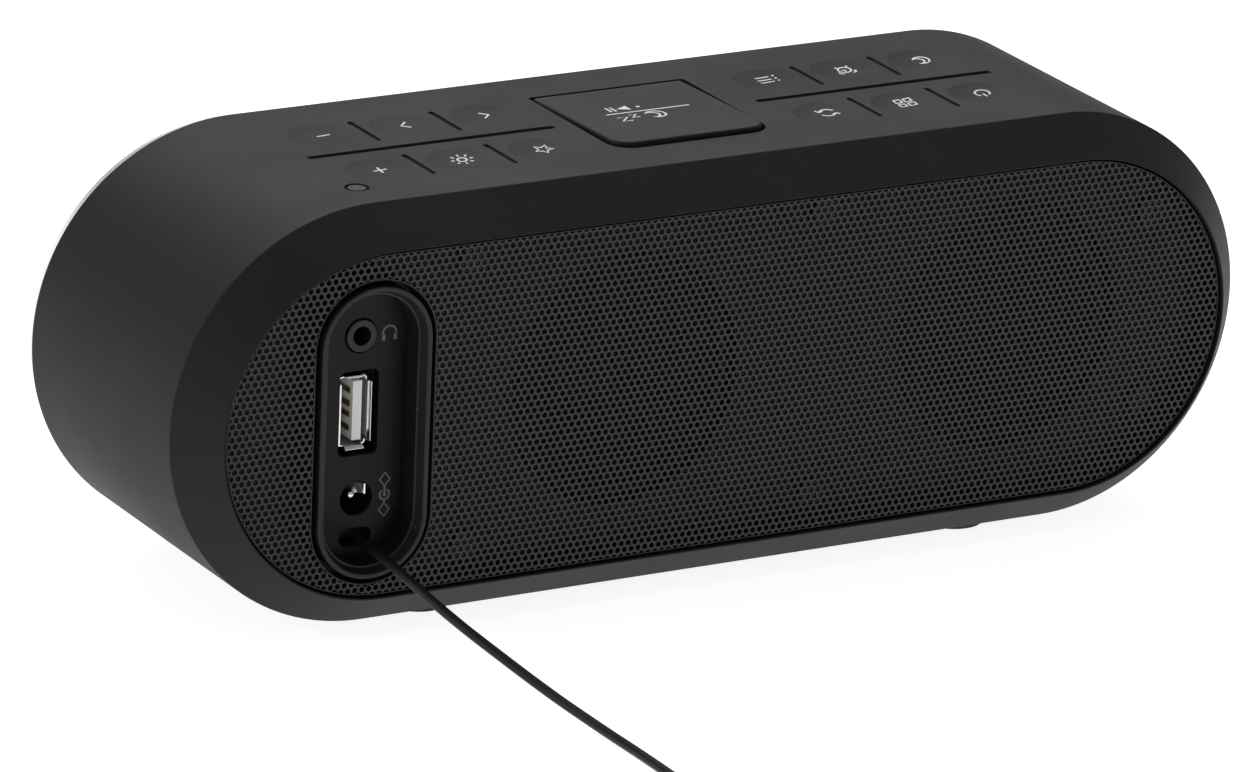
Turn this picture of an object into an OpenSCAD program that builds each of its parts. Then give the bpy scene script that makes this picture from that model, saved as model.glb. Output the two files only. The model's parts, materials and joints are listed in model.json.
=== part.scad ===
// Bedside radio with a pill-shaped body, keys on its deck and a loudspeaker grille on its back.
// +X runs along the body, -Y is the display side, +Y is the grille side, +Z is up.
// The origin is on the table, under the middle of the body.

/* [Body] */
// Overall length of the body
body_w = 220; // [216:1:230]
// Height of the body without its feet
body_h = 78; // [78:1:80]
// Depth of the straight part of the outer sleeve
sleeve_d = 56; // [56:1:60]
// Thickness of the soft outer sleeve
skin_t = 1.8; // [1.6:0.1:1.8]
// Wall thickness of the hard inner casing
casing_t = 2.2; // [1.8:0.1:2.2]
// Height of the feet under the body
foot_h = 1.2; // [1:0.1:3]

/* [Rear] */
// Depth of the bevelled rim behind the sleeve
rim_d = 8; // [7.5:0.5:8]
// How far the bevelled rim narrows on each side
rim_in = 6.6; // [6.4:0.1:6.8]
// Thickness of the perforated grille sheet
grille_t = 0.8; // [0.6:0.1:0.8]
// How far the grille sits inside the rim's crest
grille_sink = 0.6; // [0.4:0.1:0.9]

/* [Front] */
// Depth of the silver trim ring ahead of the sleeve
trim_d = 3; // [2.5:0.5:3.5]
// How far the trim ring narrows on each side
trim_in = 1.2; // [0.8:0.1:1.4]

/* [Keys] */
// Distance between neighbouring keys in a row
key_pitch = 16.5; // [15.5:0.5:17]
// Distance between the two rows of keys
row_pitch = 22; // [20:1:23]
// Distance between the middles of the two key groups, halved
group_x = 46; // [45:1:48]
// How far the keys stand off the body's middle along its length
keys_off_x = -0.9; // [-1.5:0.1:0]
// How far the keys stand back from the middle of the deck
keys_off_y = 0.8; // [0:0.1:1]
// Diameter of a key
key_dia = 12.4; // [11:0.2:12.6]
// Depth of the dish in a key's top
dish_depth = 0.8; // [0.4:0.1:1]
// Width of the snooze plate
snooze_w = 31.2; // [28:0.4:32]
// Length of the snooze plate from hinge to lifted edge
snooze_l = 33; // [30:1:34]
// How far the snooze plate's rear edge stands above the deck
snooze_lift = 0.9; // [0.5:0.1:1.2]

/* [Connector bay] */
// Distance from the middle of the body to the bay
bay_x = 73.5; // [72:0.5:75]
// How far the bay sits below the middle of the body
bay_drop = 1.1; // [0.5:0.1:1.3]
// Outer radius of the bay's trim ring
bay_r = 10.9; // [10.7:0.1:11.2]
// Half length of the bay's straight sides
bay_half = 16.3; // [15.5:0.1:17]
// Diameter of the headphone socket's bore
phone_bore = 3.6; // [3.5:0.1:3.8]
// Diameter of the power socket's opening
power_bore = 6.4; // [6:0.1:6.6]
// Diameter of the power socket's middle pin
power_pin = 2; // [1.6:0.1:2.5]

/* [Loudspeakers] */
// Radius of a loudspeaker's flange
spk_r = 27; // [25:1:27]
// Distance between the two loudspeakers
spk_pitch = 80; // [78:1:82]
// Middle point between the two loudspeakers along X
spk_mid = -20; // [-22:1:-18]

/* [Aerial] */
// Diameter of the aerial wire
wire_d = 1.8; // [1.6:0.1:2]

/* [Hidden] */
$fn = 96;
tiny = 0.01;
R = body_h / 2;
half_l = body_w / 2 - R;
zc = foot_h + R;
deck_z = foot_h + body_h;
y_front = -(trim_d + sleeve_d + rim_d) / 2;
y_sleeve = y_front + trim_d;
y_rim = y_sleeve + sleeve_d;
y_back = y_rim + rim_d;
y_deck = y_sleeve + sleeve_d / 2 + keys_off_y;

// Rear: crest of the rim, window inside it, grille and baffle.
crest_r = R - rim_in;
window_r = crest_r - 0.3;
grille_r = window_r - 0.35;
y_grille = y_back - grille_sink;
y_baffle = y_rim - 1.9;
baffle_t = 3;
baffle_r = R - 4.8;
y_seat = y_baffle + baffle_t;

// Hard casing inside the sleeve.
casing_r = R - skin_t - 0.1;
casing_in = casing_r - casing_t;
casing_top = zc + casing_in;
y_casing0 = y_sleeve + 2.9;
y_casing1 = y_baffle - 0.2;
boss_l = 4.6;

// Bay: depth levels of its ring, step and floor.
bay_gap = 0.9;
y_ring = y_back;
y_floor = y_back - 6.5;
floor_t = 2;
floor_r = bay_r - 2.1;
bay_z = zc - bay_drop;
phone_z = bay_z + 16.2;
usb_z = bay_z + 1.8;
power_z = bay_z - 14.2;
slot_z = bay_z - 21.5;
board_x = bay_x - 6.1;
board_t = 1.6;
jack_face = board_x + board_t;

// Key stack: disc, stem, pill and contact.
key_hole = key_dia + 0.8;
key_travel = 0.6;
stem_r = 2.2;
kb_top = casing_top - 3.6;
contact_t = 0.3;
pill_gap = key_travel + contact_t + 0.1;
pill_t = 0.4;
disc_z = deck_z - skin_t;
dish_r = (pow(key_dia / 2 - 0.2, 2) + pow(dish_depth, 2)) / (2 * dish_depth);
snooze_y0 = y_deck - 17;
hinge_r = (skin_t - 0.1) / 2;
snooze_stem_y = y_deck + 6.5;
snooze_gap = 1.1;
groove_w = 1.2;
sensor_x = group_x + key_pitch * 1.5 + keys_off_x;
sensor_y = y_deck + 18.4;
boss_x = [-group_x - 8.3, -22.6, 22.6, group_x + 8.3];

// Display parts behind the lens.
glass_r = R - trim_in - 1.7;
lens_t = 1.8;
y_lens = y_front + 0.6;
y_mask = y_lens + lens_t;
mask_t = 2;
y_panel = y_mask + mask_t;
panel_t = 5;
y_board = y_panel + 9;
post_x = 62;
post_z = 22;

// Loudspeakers.
cone_r = spk_r - 6.5;
roll_r = spk_r - 3.7;
spk_hole = spk_r - 3.4;
spk_fix_r = spk_r - 1.4;
y_flange = y_baffle - 1.5;
cone_low = y_flange - 11;
y_magnet = y_flange - 23;
magnet_r = 15;

// Aerial: hand-laid route of the loose stretch, then a coil on the table.
coil_c = [71.4, 152];
coil_r = 10.8;
coil_turns_wide = 5;
coil_turns_high = 4;
coil_low = 0.6;
coil_w = coil_turns_wide * wire_d;
coil_h = coil_turns_high * wire_d;
tip_d = 2.6;
route = [
    [73.5, 22, slot_z], [73.5, 27, slot_z], [73.4, 32, 17.4], [73, 38, 16.8],
    [72.1, 44.5, 15.4], [70.5, 51, 13.2], [68.1, 58, 10.5], [65.3, 65, 7.8],
    [62.5, 72, 5.2], [60.1, 79, 3.1], [58.3, 86, 1.7], [57.3, 93, 1],
    [57, 100, 0.9], [56.9, 107, 0.9], [56.9, 114, 0.9], [56.9, 121, 0.9],
    [57, 128, 0.9], [57, 135, 1], [57, 142, 1.3], [57, 148, 1.5]
];

KEYS = [
    ["key_plus", 1, 1, 1], ["key_dimmer", 1, 0, 1], ["key_preset", 1, -1, 1],
    ["key_minus", 1, 1, -1], ["key_forward", 1, 0, -1], ["key_back", 1, -1, -1],
    ["key_scan", -1, 1, 1], ["key_mode", -1, 0, 1], ["key_power", -1, -1, 1],
    ["key_info", -1, 1, -1], ["key_alarm", -1, 0, -1], ["key_sleep", -1, -1, -1]
];

function group_mid(side) = side * group_x + keys_off_x;
function key_x(k) = group_mid(k[1]) + k[2] * key_pitch;
function key_y(k) = y_deck + k[3] * row_pitch / 2;
function spk_x(n) = spk_mid + (n == 1 ? 1 : -1) * spk_pitch / 2;

// ---- shapes that repeat ----

// Pill-shaped bar along Y with radius r, centred on the body's axis.
module pill_bar(r, y0, y1) {
    for (s = [-1, 1])
        rod_y(s * half_l, zc, r, y0, y1);
    block([-half_l, y0, zc - r], [half_l, y1, zc + r]);
}

// The same bar, narrowing from r0 at y0 to r1 at y1.
module pill_taper(r0, r1, y0, y1) {
    for (s = [-1, 1])
        translate([s * half_l, y0, zc])
            rotate([-90, 0, 0])
                cylinder(r1 = r0, r2 = r1, h = y1 - y0);
    translate([-half_l, 0, 0])
        rotate([90, 0, 90])
            linear_extrude(height = 2 * half_l)
                polygon([[y0, zc - r0], [y1, zc - r1], [y1, zc + r1], [y0, zc + r0]]);
}

// Upright pill-shaped bar along Y, for the connector bay.
module bay_bar(r, y0, y1) {
    for (s = [-1, 1])
        rod_y(bay_x, bay_z + s * bay_half, r, y0, y1);
    block([bay_x - r, y0, bay_z - bay_half], [bay_x + r, y1, bay_z + bay_half]);
}

// Block between two corners.
module block(a, b) {
    translate(a) cube(b - a);
}

// Round rod along Y.
module rod_y(x, z, r, y0, y1) {
    translate([x, y0, z]) rotate([-90, 0, 0]) cylinder(r = r, h = y1 - y0);
}

// Round rod along Z.
module rod_z(x, y, r, z0, z1) {
    translate([x, y, z0]) cylinder(r = r, h = z1 - z0);
}

// Solid of revolution about a Y axis through [x, zc]; the outline holds [radius, y].
module turned(x, outline) {
    translate([x, 0, zc])
        rotate([-90, 0, 0])
            rotate_extrude()
                polygon(outline);
}

// Pan-head screw along +Y, its head's top at y.
module screw_y(x, z, y, head_r, shank_r, long) {
    rod_y(x, z, head_r, y - 1.4, y);
    rod_y(x, z, shank_r, y - 1.4 - long, y - 1.4 + tiny);
}

// Plan of the snooze plate grown by gap: square at the hinge, round at the lifted edge.
module snooze_outline(gap, front_gap, z0, z1) {
    half = snooze_w / 2 + gap;
    rear = snooze_y0 + snooze_l + gap;
    corner = 4 + gap;
    block([-half, snooze_y0 - front_gap, z0], [half, rear - corner, z1]);
    block([-half + corner, snooze_y0 - front_gap, z0], [half - corner, rear, z1]);
    for (s = [-1, 1])
        rod_z(s * (half - corner), rear - corner, corner, z0, z1);
}

// ---- sleeve and casing ----

module deck_grooves(depth) {
    for (g = [-1, 1]) {
        block(
            [group_mid(g) - 25, y_deck - groove_w / 2, deck_z - depth],
            [group_mid(g) + 25, y_deck + groove_w / 2, deck_z + 1]
        );
        for (k = [-0.5, 0.5], row = [-1, 1])
            block(
                [group_mid(g) + k * key_pitch - groove_w / 2, y_deck + row * 10.5 - 6, deck_z - depth],
                [group_mid(g) + k * key_pitch + groove_w / 2, y_deck + row * 10.5 + 6, deck_z + 1]
            );
    }
}

module outer_sleeve() {
    color("#3a3a3c")
        difference() {
            union() {
                pill_bar(R, y_sleeve, y_rim);
                pill_taper(R, crest_r, y_rim, y_back);
            }
            pill_bar(R - skin_t, y_sleeve - 1, y_rim - 1.2);
            pill_taper(R - skin_t, window_r, y_rim - 1.2, y_back - 2.3);
            pill_bar(window_r, y_back - 2.3 - tiny, y_back + 1);
            for (k = KEYS)
                rod_z(key_x(k), key_y(k), key_hole / 2, deck_z - skin_t - 1, deck_z + 1);
            snooze_outline(0.6, 0.3, disc_z - 1, deck_z + 1);
            rod_z(sensor_x, sensor_y, 2.2, deck_z - skin_t - 1, deck_z + 1);
            deck_grooves(0.5);
        }
}

module inner_casing() {
    color("#232325")
        difference() {
            union() {
                difference() {
                    pill_bar(casing_r, y_casing0, y_casing1);
                    pill_bar(casing_in, y_casing0 - 1, y_casing1 + 1);
                }
                for (x = boss_x)
                    rod_z(x, y_deck, 2.8, kb_top, casing_top + 1);
                for (p = baffle_fixings()) {
                    rod_y(p[0], p[1], 3.2, y_casing1 - boss_l, y_casing1);
                    block(
                        [p[0] - 1.2, y_casing1 - boss_l, p[1] > zc ? p[1] : zc - wall_height(p[0])],
                        [p[0] + 1.2, y_casing1, p[1] > zc ? zc + wall_height(p[0]) : p[1]]
                    );
                }
            }
            for (k = KEYS)
                rod_z(key_x(k), key_y(k), key_hole / 2 + 0.1, casing_top - 1, deck_z);
            block([-snooze_w / 2 - 0.8, snooze_y0 - 0.8, casing_top - 1],
                [snooze_w / 2 + 0.8, snooze_y0 + snooze_l + 0.8, deck_z]);
            rod_z(sensor_x, sensor_y, 2.4, casing_top - 1, deck_z);
            for (x = boss_x)
                rod_z(x, y_deck, 1.1, kb_top - 1, casing_top + 0.5);
            for (p = baffle_fixings())
                rod_y(p[0], p[1], 1.35, y_casing1 - boss_l + 0.4, y_casing1 + 1);
        }
}

// Places of the screws that hold the baffle, as [x, z].
function baffle_fixings() = [
    for (p = [[-90, 18.5], [spk_mid, 27], [52, 27]], s = [-1, 1]) [p[0], zc + s * p[1]]
];
// Height above the axis at which the casing's wall is met at x.
function wall_height(x) = sqrt(pow(casing_in + 0.6, 2) - pow(max(0, abs(x) - half_l), 2));

// ---- display side ----

module front_trim() {
    color("#b9bcc0")
        difference() {
            union() {
                pill_taper(R - trim_in, R - 0.2, y_front, y_sleeve);
                pill_bar(R - skin_t - 0.2, y_sleeve - tiny, y_casing0 - 0.1);
            }
            pill_bar(glass_r + 0.2, y_front - 1, y_casing0 + 1);
        }
}

module display_lens() {
    color("#101114") pill_bar(glass_r, y_lens, y_mask);
}

module display_mask() {
    color("#17181a") {
        difference() {
            pill_bar(glass_r, y_mask, y_panel);
            block([-50, y_mask - 1, zc - 18], [50, y_panel + 1, zc + 18]);
        }
        for (x = [-post_x, post_x], s = [-1, 1])
            difference() {
                rod_y(x, zc + s * post_z, 3, y_panel, y_board);
                rod_y(x, zc + s * post_z, 1.1, y_panel + 1, y_board + 1);
            }
    }
}

module display_panel() {
    color("#0e0f12") block([-56, y_panel, zc - 21.5], [56, y_panel + panel_t, zc + 21.5]);
}

module main_board() {
    color("#1f5a38")
        difference() {
            block([-70, y_board, zc - 27], [70, y_board + board_t, zc + 27]);
            for (x = [-post_x, post_x], s = [-1, 1])
                rod_y(x, zc + s * post_z, 1.3, y_board - 1, y_board + board_t + 1);
        }
}

module tuner_shield() {
    color("#c3c6c8") block([-44, y_board + board_t, zc - 14], [-10, y_board + board_t + 4, zc + 14]);
}

module board_screws() {
    color("#8f9296")
        for (x = [-post_x, post_x], s = [-1, 1])
            screw_y(x, zc + s * post_z, y_board + board_t + 1.4, 2.2, 0.95, 6);
}

// ---- deck ----

module dished_key(k) {
    low = kb_top + pill_gap;
    color("#3a3a3c")
        difference() {
            rod_z(key_x(k), key_y(k), key_dia / 2, disc_z, deck_z);
            translate([key_x(k), key_y(k), deck_z - dish_depth + dish_r]) sphere(r = dish_r, $fn = 128);
        }
    color("#3a3a3c") rod_z(key_x(k), key_y(k), stem_r, low + pill_t, disc_z + tiny);
    color("#111111") rod_z(key_x(k), key_y(k), stem_r - 0.4, low, low + pill_t + tiny);
}

module snooze_bar() {
    low = kb_top + snooze_gap;
    color("#343436") {
        intersection() {
            snooze_outline(0, -hinge_r, disc_z - 1, deck_z + 3);
            translate([-snooze_w / 2 - 1, 0, 0])
                rotate([90, 0, 90])
                    linear_extrude(height = snooze_w + 2)
                        polygon([
                            [snooze_y0 - 1, disc_z + 0.1], [snooze_y0 + snooze_l + 1, disc_z + 0.1],
                            [snooze_y0 + snooze_l + 1, deck_z + snooze_lift],
                            [snooze_y0 + 2, deck_z], [snooze_y0 - 1, deck_z]
                        ]);
        }
        translate([-snooze_w / 2, snooze_y0 + hinge_r, deck_z - hinge_r])
            rotate([0, 90, 0])
                cylinder(r = hinge_r, h = snooze_w);
        rod_z(0, snooze_stem_y, 2.5, low + pill_t, disc_z + 0.2);
        rod_z(0, snooze_stem_y, 2, low, low + pill_t + tiny);
    }
}

module key_board() {
    color("#1f5a38")
        difference() {
            block([-72, y_deck - 18.5, kb_top - board_t], [sensor_x + 3, y_deck + 21, kb_top]);
            for (x = boss_x)
                rod_z(x, y_deck, 1.3, kb_top - board_t - 1, kb_top + 1);
        }
}

module key_contacts() {
    color("#c8a24a") {
        for (k = KEYS)
            rod_z(key_x(k), key_y(k), 2.6, kb_top, kb_top + contact_t);
        rod_z(0, snooze_stem_y, 3, kb_top, kb_top + contact_t);
    }
}

module key_board_screws() {
    color("#8f9296")
        for (x = boss_x) {
            rod_z(x, y_deck, 2.1, kb_top - board_t - 1.4, kb_top - board_t);
            rod_z(x, y_deck, 0.95, kb_top - board_t - tiny, kb_top + 2.6);
        }
}

module sensor_ring() {
    color("#1b1b1d")
        difference() {
            rod_z(sensor_x, sensor_y, 2.1, kb_top, deck_z - 0.05);
            rod_z(sensor_x, sensor_y, 1.7, kb_top - 1, deck_z + 1);
        }
}

module sensor_lens() {
    color("#6f7173") rod_z(sensor_x, sensor_y, 1.65, kb_top, deck_z - 0.1);
}

// ---- grille side ----

module rear_baffle() {
    color("#1c1c1e")
        difference() {
            pill_bar(baffle_r, y_baffle, y_seat);
            for (n = [1, 2])
                rod_y(spk_x(n), zc, spk_hole, y_baffle - 1, y_seat + 1);
            bay_bar(bay_r - 0.3, y_baffle - 1, y_seat + 1);
            for (p = baffle_fixings())
                rod_y(p[0], p[1], 1.6, y_baffle - 1, y_seat + 1);
            speaker_fixings(1, y_baffle - 1, y_seat - 0.5);
        }
}

module baffle_screws() {
    color("#8f9296")
        for (p = baffle_fixings())
            screw_y(p[0], p[1], y_seat + 1.4, 2.6, 1.2, baffle_t + boss_l - 0.6);
}

module rear_grille() {
    color("#2d2d2f")
        difference() {
            pill_bar(grille_r, y_seat, y_grille);
            difference() {
                pill_bar(grille_r - grille_t, y_seat - 1, y_grille - grille_t);
                bay_bar(bay_r + bay_gap + grille_t, y_seat + 2, y_grille);
            }
            bay_bar(bay_r + bay_gap, y_seat - 1, y_grille + 1);
        }
}

module bay_ring() {
    color("#2a2b2d")
        difference() {
            union() {
                bay_bar(bay_r, y_seat - tiny, y_ring);
                bay_bar(bay_r - 0.5, y_floor - floor_t - 1.4, y_seat);
            }
            bay_bar(bay_r - 0.9, y_ring - 3.2, y_ring + 1);
            bay_bar(floor_r + 0.1, y_floor - floor_t, y_ring + 1);
            bay_bar(floor_r - 1, y_floor - floor_t - 2, y_ring + 1);
        }
}

module bay_floor() {
    color("#1d1e20")
        difference() {
            union() {
                bay_bar(floor_r, y_floor - floor_t, y_floor);
                block([board_x - 1.4, y_floor - 10, bay_z - 6], [board_x - 0.1, y_floor - floor_t, bay_z + 6]);
            }
            rod_y(bay_x, phone_z, 3.1, y_floor - floor_t - 1, y_floor + 1);
            block([bay_x - 3.8, y_floor - floor_t - 1, usb_z - 7.8], [bay_x + 3.8, y_floor + 1, usb_z + 7.8]);
            rod_y(bay_x, power_z, 3.6, y_floor - floor_t - 1, y_floor + 1);
            for (s = [-1, 1])
                rod_y(bay_x + s * 1.5, slot_z, 1.6, y_floor - floor_t - 1, y_floor + 1);
            block([bay_x - 1.5, y_floor - floor_t - 1, slot_z - 1.6], [bay_x + 1.5, y_floor + 1, slot_z + 1.6]);
        }
}

module io_board() {
    color("#1f5a38") block([board_x, y_floor - 22, slot_z - 3.5], [jack_face, y_floor - floor_t - 1.6, phone_z + 7]);
}

module headphone_socket() {
    color("#17181a")
        difference() {
            union() {
                block([jack_face, y_floor - 14, phone_z - 4], [bay_x + 4.5, y_floor - floor_t - 0.1, phone_z + 4]);
                rod_y(bay_x, phone_z, 2.9, y_floor - floor_t - 0.2, y_floor + 0.3);
            }
            rod_y(bay_x, phone_z, phone_bore / 2, y_floor - 13, y_floor + 1);
        }
}

module usb_shell() {
    color("#c9ccd0")
        difference() {
            block([bay_x - 2.3, y_floor - 14, usb_z - 6.55], [bay_x + 3.4, y_floor - 0.2, usb_z + 6.55]);
            block([bay_x - 2, y_floor - 13.5, usb_z - 6.25], [bay_x + 3.1, y_floor + 1, usb_z + 6.25]);
        }
}

module usb_tongue() {
    color("#e8e9ea") block([bay_x - 1.2, y_floor - 13.5, usb_z - 5.5], [bay_x + 0.6, y_floor - 1.4, usb_z + 5.5]);
}

module usb_contacts() {
    color("#d6b25a")
        for (z = [-3.5, -1, 1, 3.5])
            block([bay_x + 0.6, y_floor - 12, usb_z + z - 0.5], [bay_x + 0.8, y_floor - 2.2, usb_z + z + 0.5]);
}

module power_socket() {
    color("#111214")
        difference() {
            block([jack_face, y_floor - 14, power_z - 4.5], [bay_x + 4.5, y_floor - floor_t - 0.1, power_z + 4.5]);
            rod_y(bay_x, power_z, power_bore / 2, y_floor - 12, y_floor);
        }
}

module power_pin() {
    color("#d0d2d4") {
        rod_y(bay_x, power_z, power_pin / 2, y_floor - 12, y_floor - 2.6);
        translate([bay_x, y_floor - 2.6, power_z]) sphere(r = power_pin / 2);
    }
}

module aerial_clip() {
    color("#17181a") block([jack_face, y_floor - 11, slot_z - 2], [bay_x + 2.5, route[0][1], slot_z + 2]);
}

// ---- aerial ----

function unit(v) = v / norm(v);
// Point between b and c on the smooth curve through a, b, c and d.
function between(a, b, c, d) = (9 * (b + c) - (a + d)) / 16;
function at(list, i) = list[max(0, min(len(list) - 1, i))];
function smooth(list) = [
    for (i = [0:len(list) - 2], half = [0, 1])
        half == 0 ? list[i] : between(at(list, i - 1), list[i], list[i + 1], at(list, i + 2)),
    list[len(list) - 1]
];

// Tube of n sides along a list of points that runs mostly level.
module tube(points, r, n) {
    last = len(points) - 1;
    rings = [
        for (i = [0:last])
            let (
                t = unit(at(points, i + 1) - at(points, i - 1)),
                side = unit(cross(t, [0, 0, 1])),
                up = cross(side, t)
            )
            for (j = [0:n - 1])
                points[i] + r * (cos((j + 0.5) * 360 / n) * side + sin((j + 0.5) * 360 / n) * up)
    ];
    walls = [
        for (i = [0:last - 1], j = [0:n - 1])
            [i * n + j, i * n + (j + 1) % n, (i + 1) * n + (j + 1) % n, (i + 1) * n + j]
    ];
    ends = [[for (j = [n - 1:-1:0]) j], [for (j = [0:n - 1]) last * n + j]];
    polyhedron(points = rings, faces = concat(walls, ends), convexity = 4);
}

module aerial_wire() {
    color("#1c1c1e") tube(smooth(route), wire_d / 2, 8);
}

module aerial_coil() {
    color("#1c1c1e")
        translate([coil_c[0], coil_c[1], coil_low])
            rotate_extrude()
                translate([coil_r - coil_w / 2, 0])
                    square([coil_w, coil_h]);
}

module aerial_tie() {
    color("#111111")
        translate([coil_c[0], coil_c[1], 0])
            rotate([0, 0, -12])
                rotate_extrude(angle = 24)
                    difference() {
                        translate([coil_r - coil_w / 2 - 0.6, 0])
                            square([coil_w + 1.2, coil_h + 2 * coil_low]);
                        translate([coil_r - coil_w / 2 - 0.05, coil_low - 0.05])
                            square([coil_w + 0.1, coil_h + 0.1]);
                    }
}

module aerial_tip() {
    color("#1c1c1e")
        translate([coil_c[0] - 4.5, coil_c[1] - coil_r, coil_low + coil_h + tip_d / 2])
            rotate([0, 90, 0])
                cylinder(d = tip_d, h = 9);
}

// ---- loudspeakers ----

module speaker_basket(n) {
    color("#2b2c2e")
        difference() {
            turned(spk_x(n), [
                [spk_r, y_flange], [spk_r, y_baffle], [spk_hole, y_baffle], [spk_hole - 0.2, y_flange],
                [magnet_r - 1, y_magnet + 11], [7.4, y_magnet + 11], [7.4, y_magnet + 10],
                [magnet_r, y_magnet + 10], [spk_hole + 0.4, y_flange]
            ]);
            for (a = [0:45:135])
                translate([spk_x(n), 0, zc])
                    rotate([0, a, 0])
                        block([-30, y_magnet + 12.5, -3.5], [30, y_flange - 2, 3.5]);
            speaker_fixings(1, y_flange - 1, y_baffle + 1);
        }
}

// Rods of radius r at the loudspeakers' fixing holes, from y0 to y1.
module speaker_fixings(r, y0, y1) {
    for (n = [1, 2], a = [22.5:90:292.5])
        rod_y(spk_x(n) + spk_fix_r * cos(a), zc + spk_fix_r * sin(a), r, y0, y1);
}

module speaker_magnet(n) {
    color("#4a4b4e")
        turned(spk_x(n), [
            [0, y_magnet], [magnet_r, y_magnet], [magnet_r, y_magnet + 10], [7.4, y_magnet + 10],
            [7.4, y_magnet + 2], [5.6, y_magnet + 2], [5.6, y_magnet + 10], [0, y_magnet + 10]
        ]);
}

// The diaphragm with its coil former and dust cap, which move as one.
module speaker_cone(n) {
    color("#1a1a1c") {
        turned(spk_x(n), [
            [cone_r, y_flange + 0.9], [cone_r, y_flange + 1.5], [6.2, cone_low + 1],
            [6.2, y_magnet + 4], [6.8, y_magnet + 4], [6.8, cone_low]
        ]);
        turned(spk_x(n), [
            [0, cone_low + 4], [3.5, cone_low + 3.4], [6.4, cone_low + 1.9], [7.4, cone_low + 1.2],
            [8.4, cone_low + 2.2], [6.6, cone_low + 2.6], [3.5, cone_low + 4.1], [0, cone_low + 4.7]
        ]);
    }
}

// Half-round roll between the cone and the basket.
module speaker_surround(n) {
    mid = (cone_r + roll_r) / 2;
    width = (roll_r - cone_r) / 2;
    color("#0f0f10")
        translate([spk_x(n), y_flange + 1.5, zc])
            rotate([-90, 0, 0])
                rotate_extrude()
                    translate([mid, 0])
                        difference() {
                            circle(r = width, $fn = 48);
                            circle(r = width - 0.5, $fn = 48);
                            translate([-4, -8]) square([8, 8]);
                        }
}

module speaker_screws() {
    color("#8f9296") {
        speaker_fixings(1.2, y_flange - 1, y_flange);
        speaker_fixings(0.9, y_flange - tiny, y_seat - 0.6);
    }
}

// ---- feet ----

module foot(sx, sy) {
    color("#19191a") rod_z(sx * 56, y_deck + sy * 20, 6, 0, foot_h);
}

outer_sleeve();
inner_casing();
front_trim();
display_lens();
display_mask();
display_panel();
main_board();
tuner_shield();
key_board();
key_contacts();
sensor_ring();
sensor_lens();
snooze_bar();
for (k = KEYS)
    dished_key(k);
rear_baffle();
rear_grille();
bay_ring();
bay_floor();
io_board();
headphone_socket();
usb_shell();
usb_tongue();
usb_contacts();
power_socket();
power_pin();
aerial_clip();
aerial_wire();
aerial_coil();
aerial_tie();
aerial_tip();
for (n = [1, 2]) {
    speaker_basket(n);
    speaker_magnet(n);
    speaker_cone(n);
    speaker_surround(n);
}
foot(-1, -1);  // foot_1
foot(1, -1);  // foot_2
foot(1, 1);  // foot_3
foot(-1, 1);  // foot_4
baffle_screws();
speaker_screws();
board_screws();
key_board_screws();
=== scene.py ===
# %% [markdown]
# # A bedside radio, seen from behind
# The radio is a pill-shaped bar in a soft rubber sleeve. Its keys are dishes pressed into the
# deck, its back is a perforated steel sheet with a connector bay in it, and a wire aerial leaves
# the bay and lies on the table. The CAD model already says where every part is and how it moves.
# This lesson gives the parts their finished surfaces and materials, one after another, and each
# position is worked out from the frame.

# %% Load the frame and keep its box
import json
import math

import bmesh
import bpy
from mathutils import Matrix, Vector, geometry


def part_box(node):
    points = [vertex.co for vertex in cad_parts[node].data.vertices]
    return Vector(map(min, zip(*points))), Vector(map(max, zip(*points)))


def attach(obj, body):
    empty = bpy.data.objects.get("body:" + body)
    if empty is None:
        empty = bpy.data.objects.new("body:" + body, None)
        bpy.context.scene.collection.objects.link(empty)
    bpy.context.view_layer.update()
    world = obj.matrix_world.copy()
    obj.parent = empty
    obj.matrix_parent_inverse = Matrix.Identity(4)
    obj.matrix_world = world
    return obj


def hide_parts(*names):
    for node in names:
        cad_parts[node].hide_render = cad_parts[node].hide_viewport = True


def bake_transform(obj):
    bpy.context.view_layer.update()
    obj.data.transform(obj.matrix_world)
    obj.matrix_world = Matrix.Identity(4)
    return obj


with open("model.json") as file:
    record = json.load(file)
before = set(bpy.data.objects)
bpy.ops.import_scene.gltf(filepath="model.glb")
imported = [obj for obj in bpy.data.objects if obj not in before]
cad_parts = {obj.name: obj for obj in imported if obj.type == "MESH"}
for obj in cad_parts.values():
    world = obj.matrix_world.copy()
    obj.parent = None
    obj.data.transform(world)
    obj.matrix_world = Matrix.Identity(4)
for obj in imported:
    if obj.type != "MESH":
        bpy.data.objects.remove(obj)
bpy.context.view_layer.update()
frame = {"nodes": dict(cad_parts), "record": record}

# %% Driving sizes, read from the frame
MM = 0.001
sleeve_lo, sleeve_hi = (Vector(corner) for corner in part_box("outer_sleeve"))
grille_lo, grille_hi = (Vector(corner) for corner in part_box("rear_grille"))
ring_lo, ring_hi = (Vector(corner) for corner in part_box("bay_ring"))
floor_lo, floor_hi = (Vector(corner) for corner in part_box("bay_floor"))
snooze_lo, snooze_hi = (Vector(corner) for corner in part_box("snooze_bar"))

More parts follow.
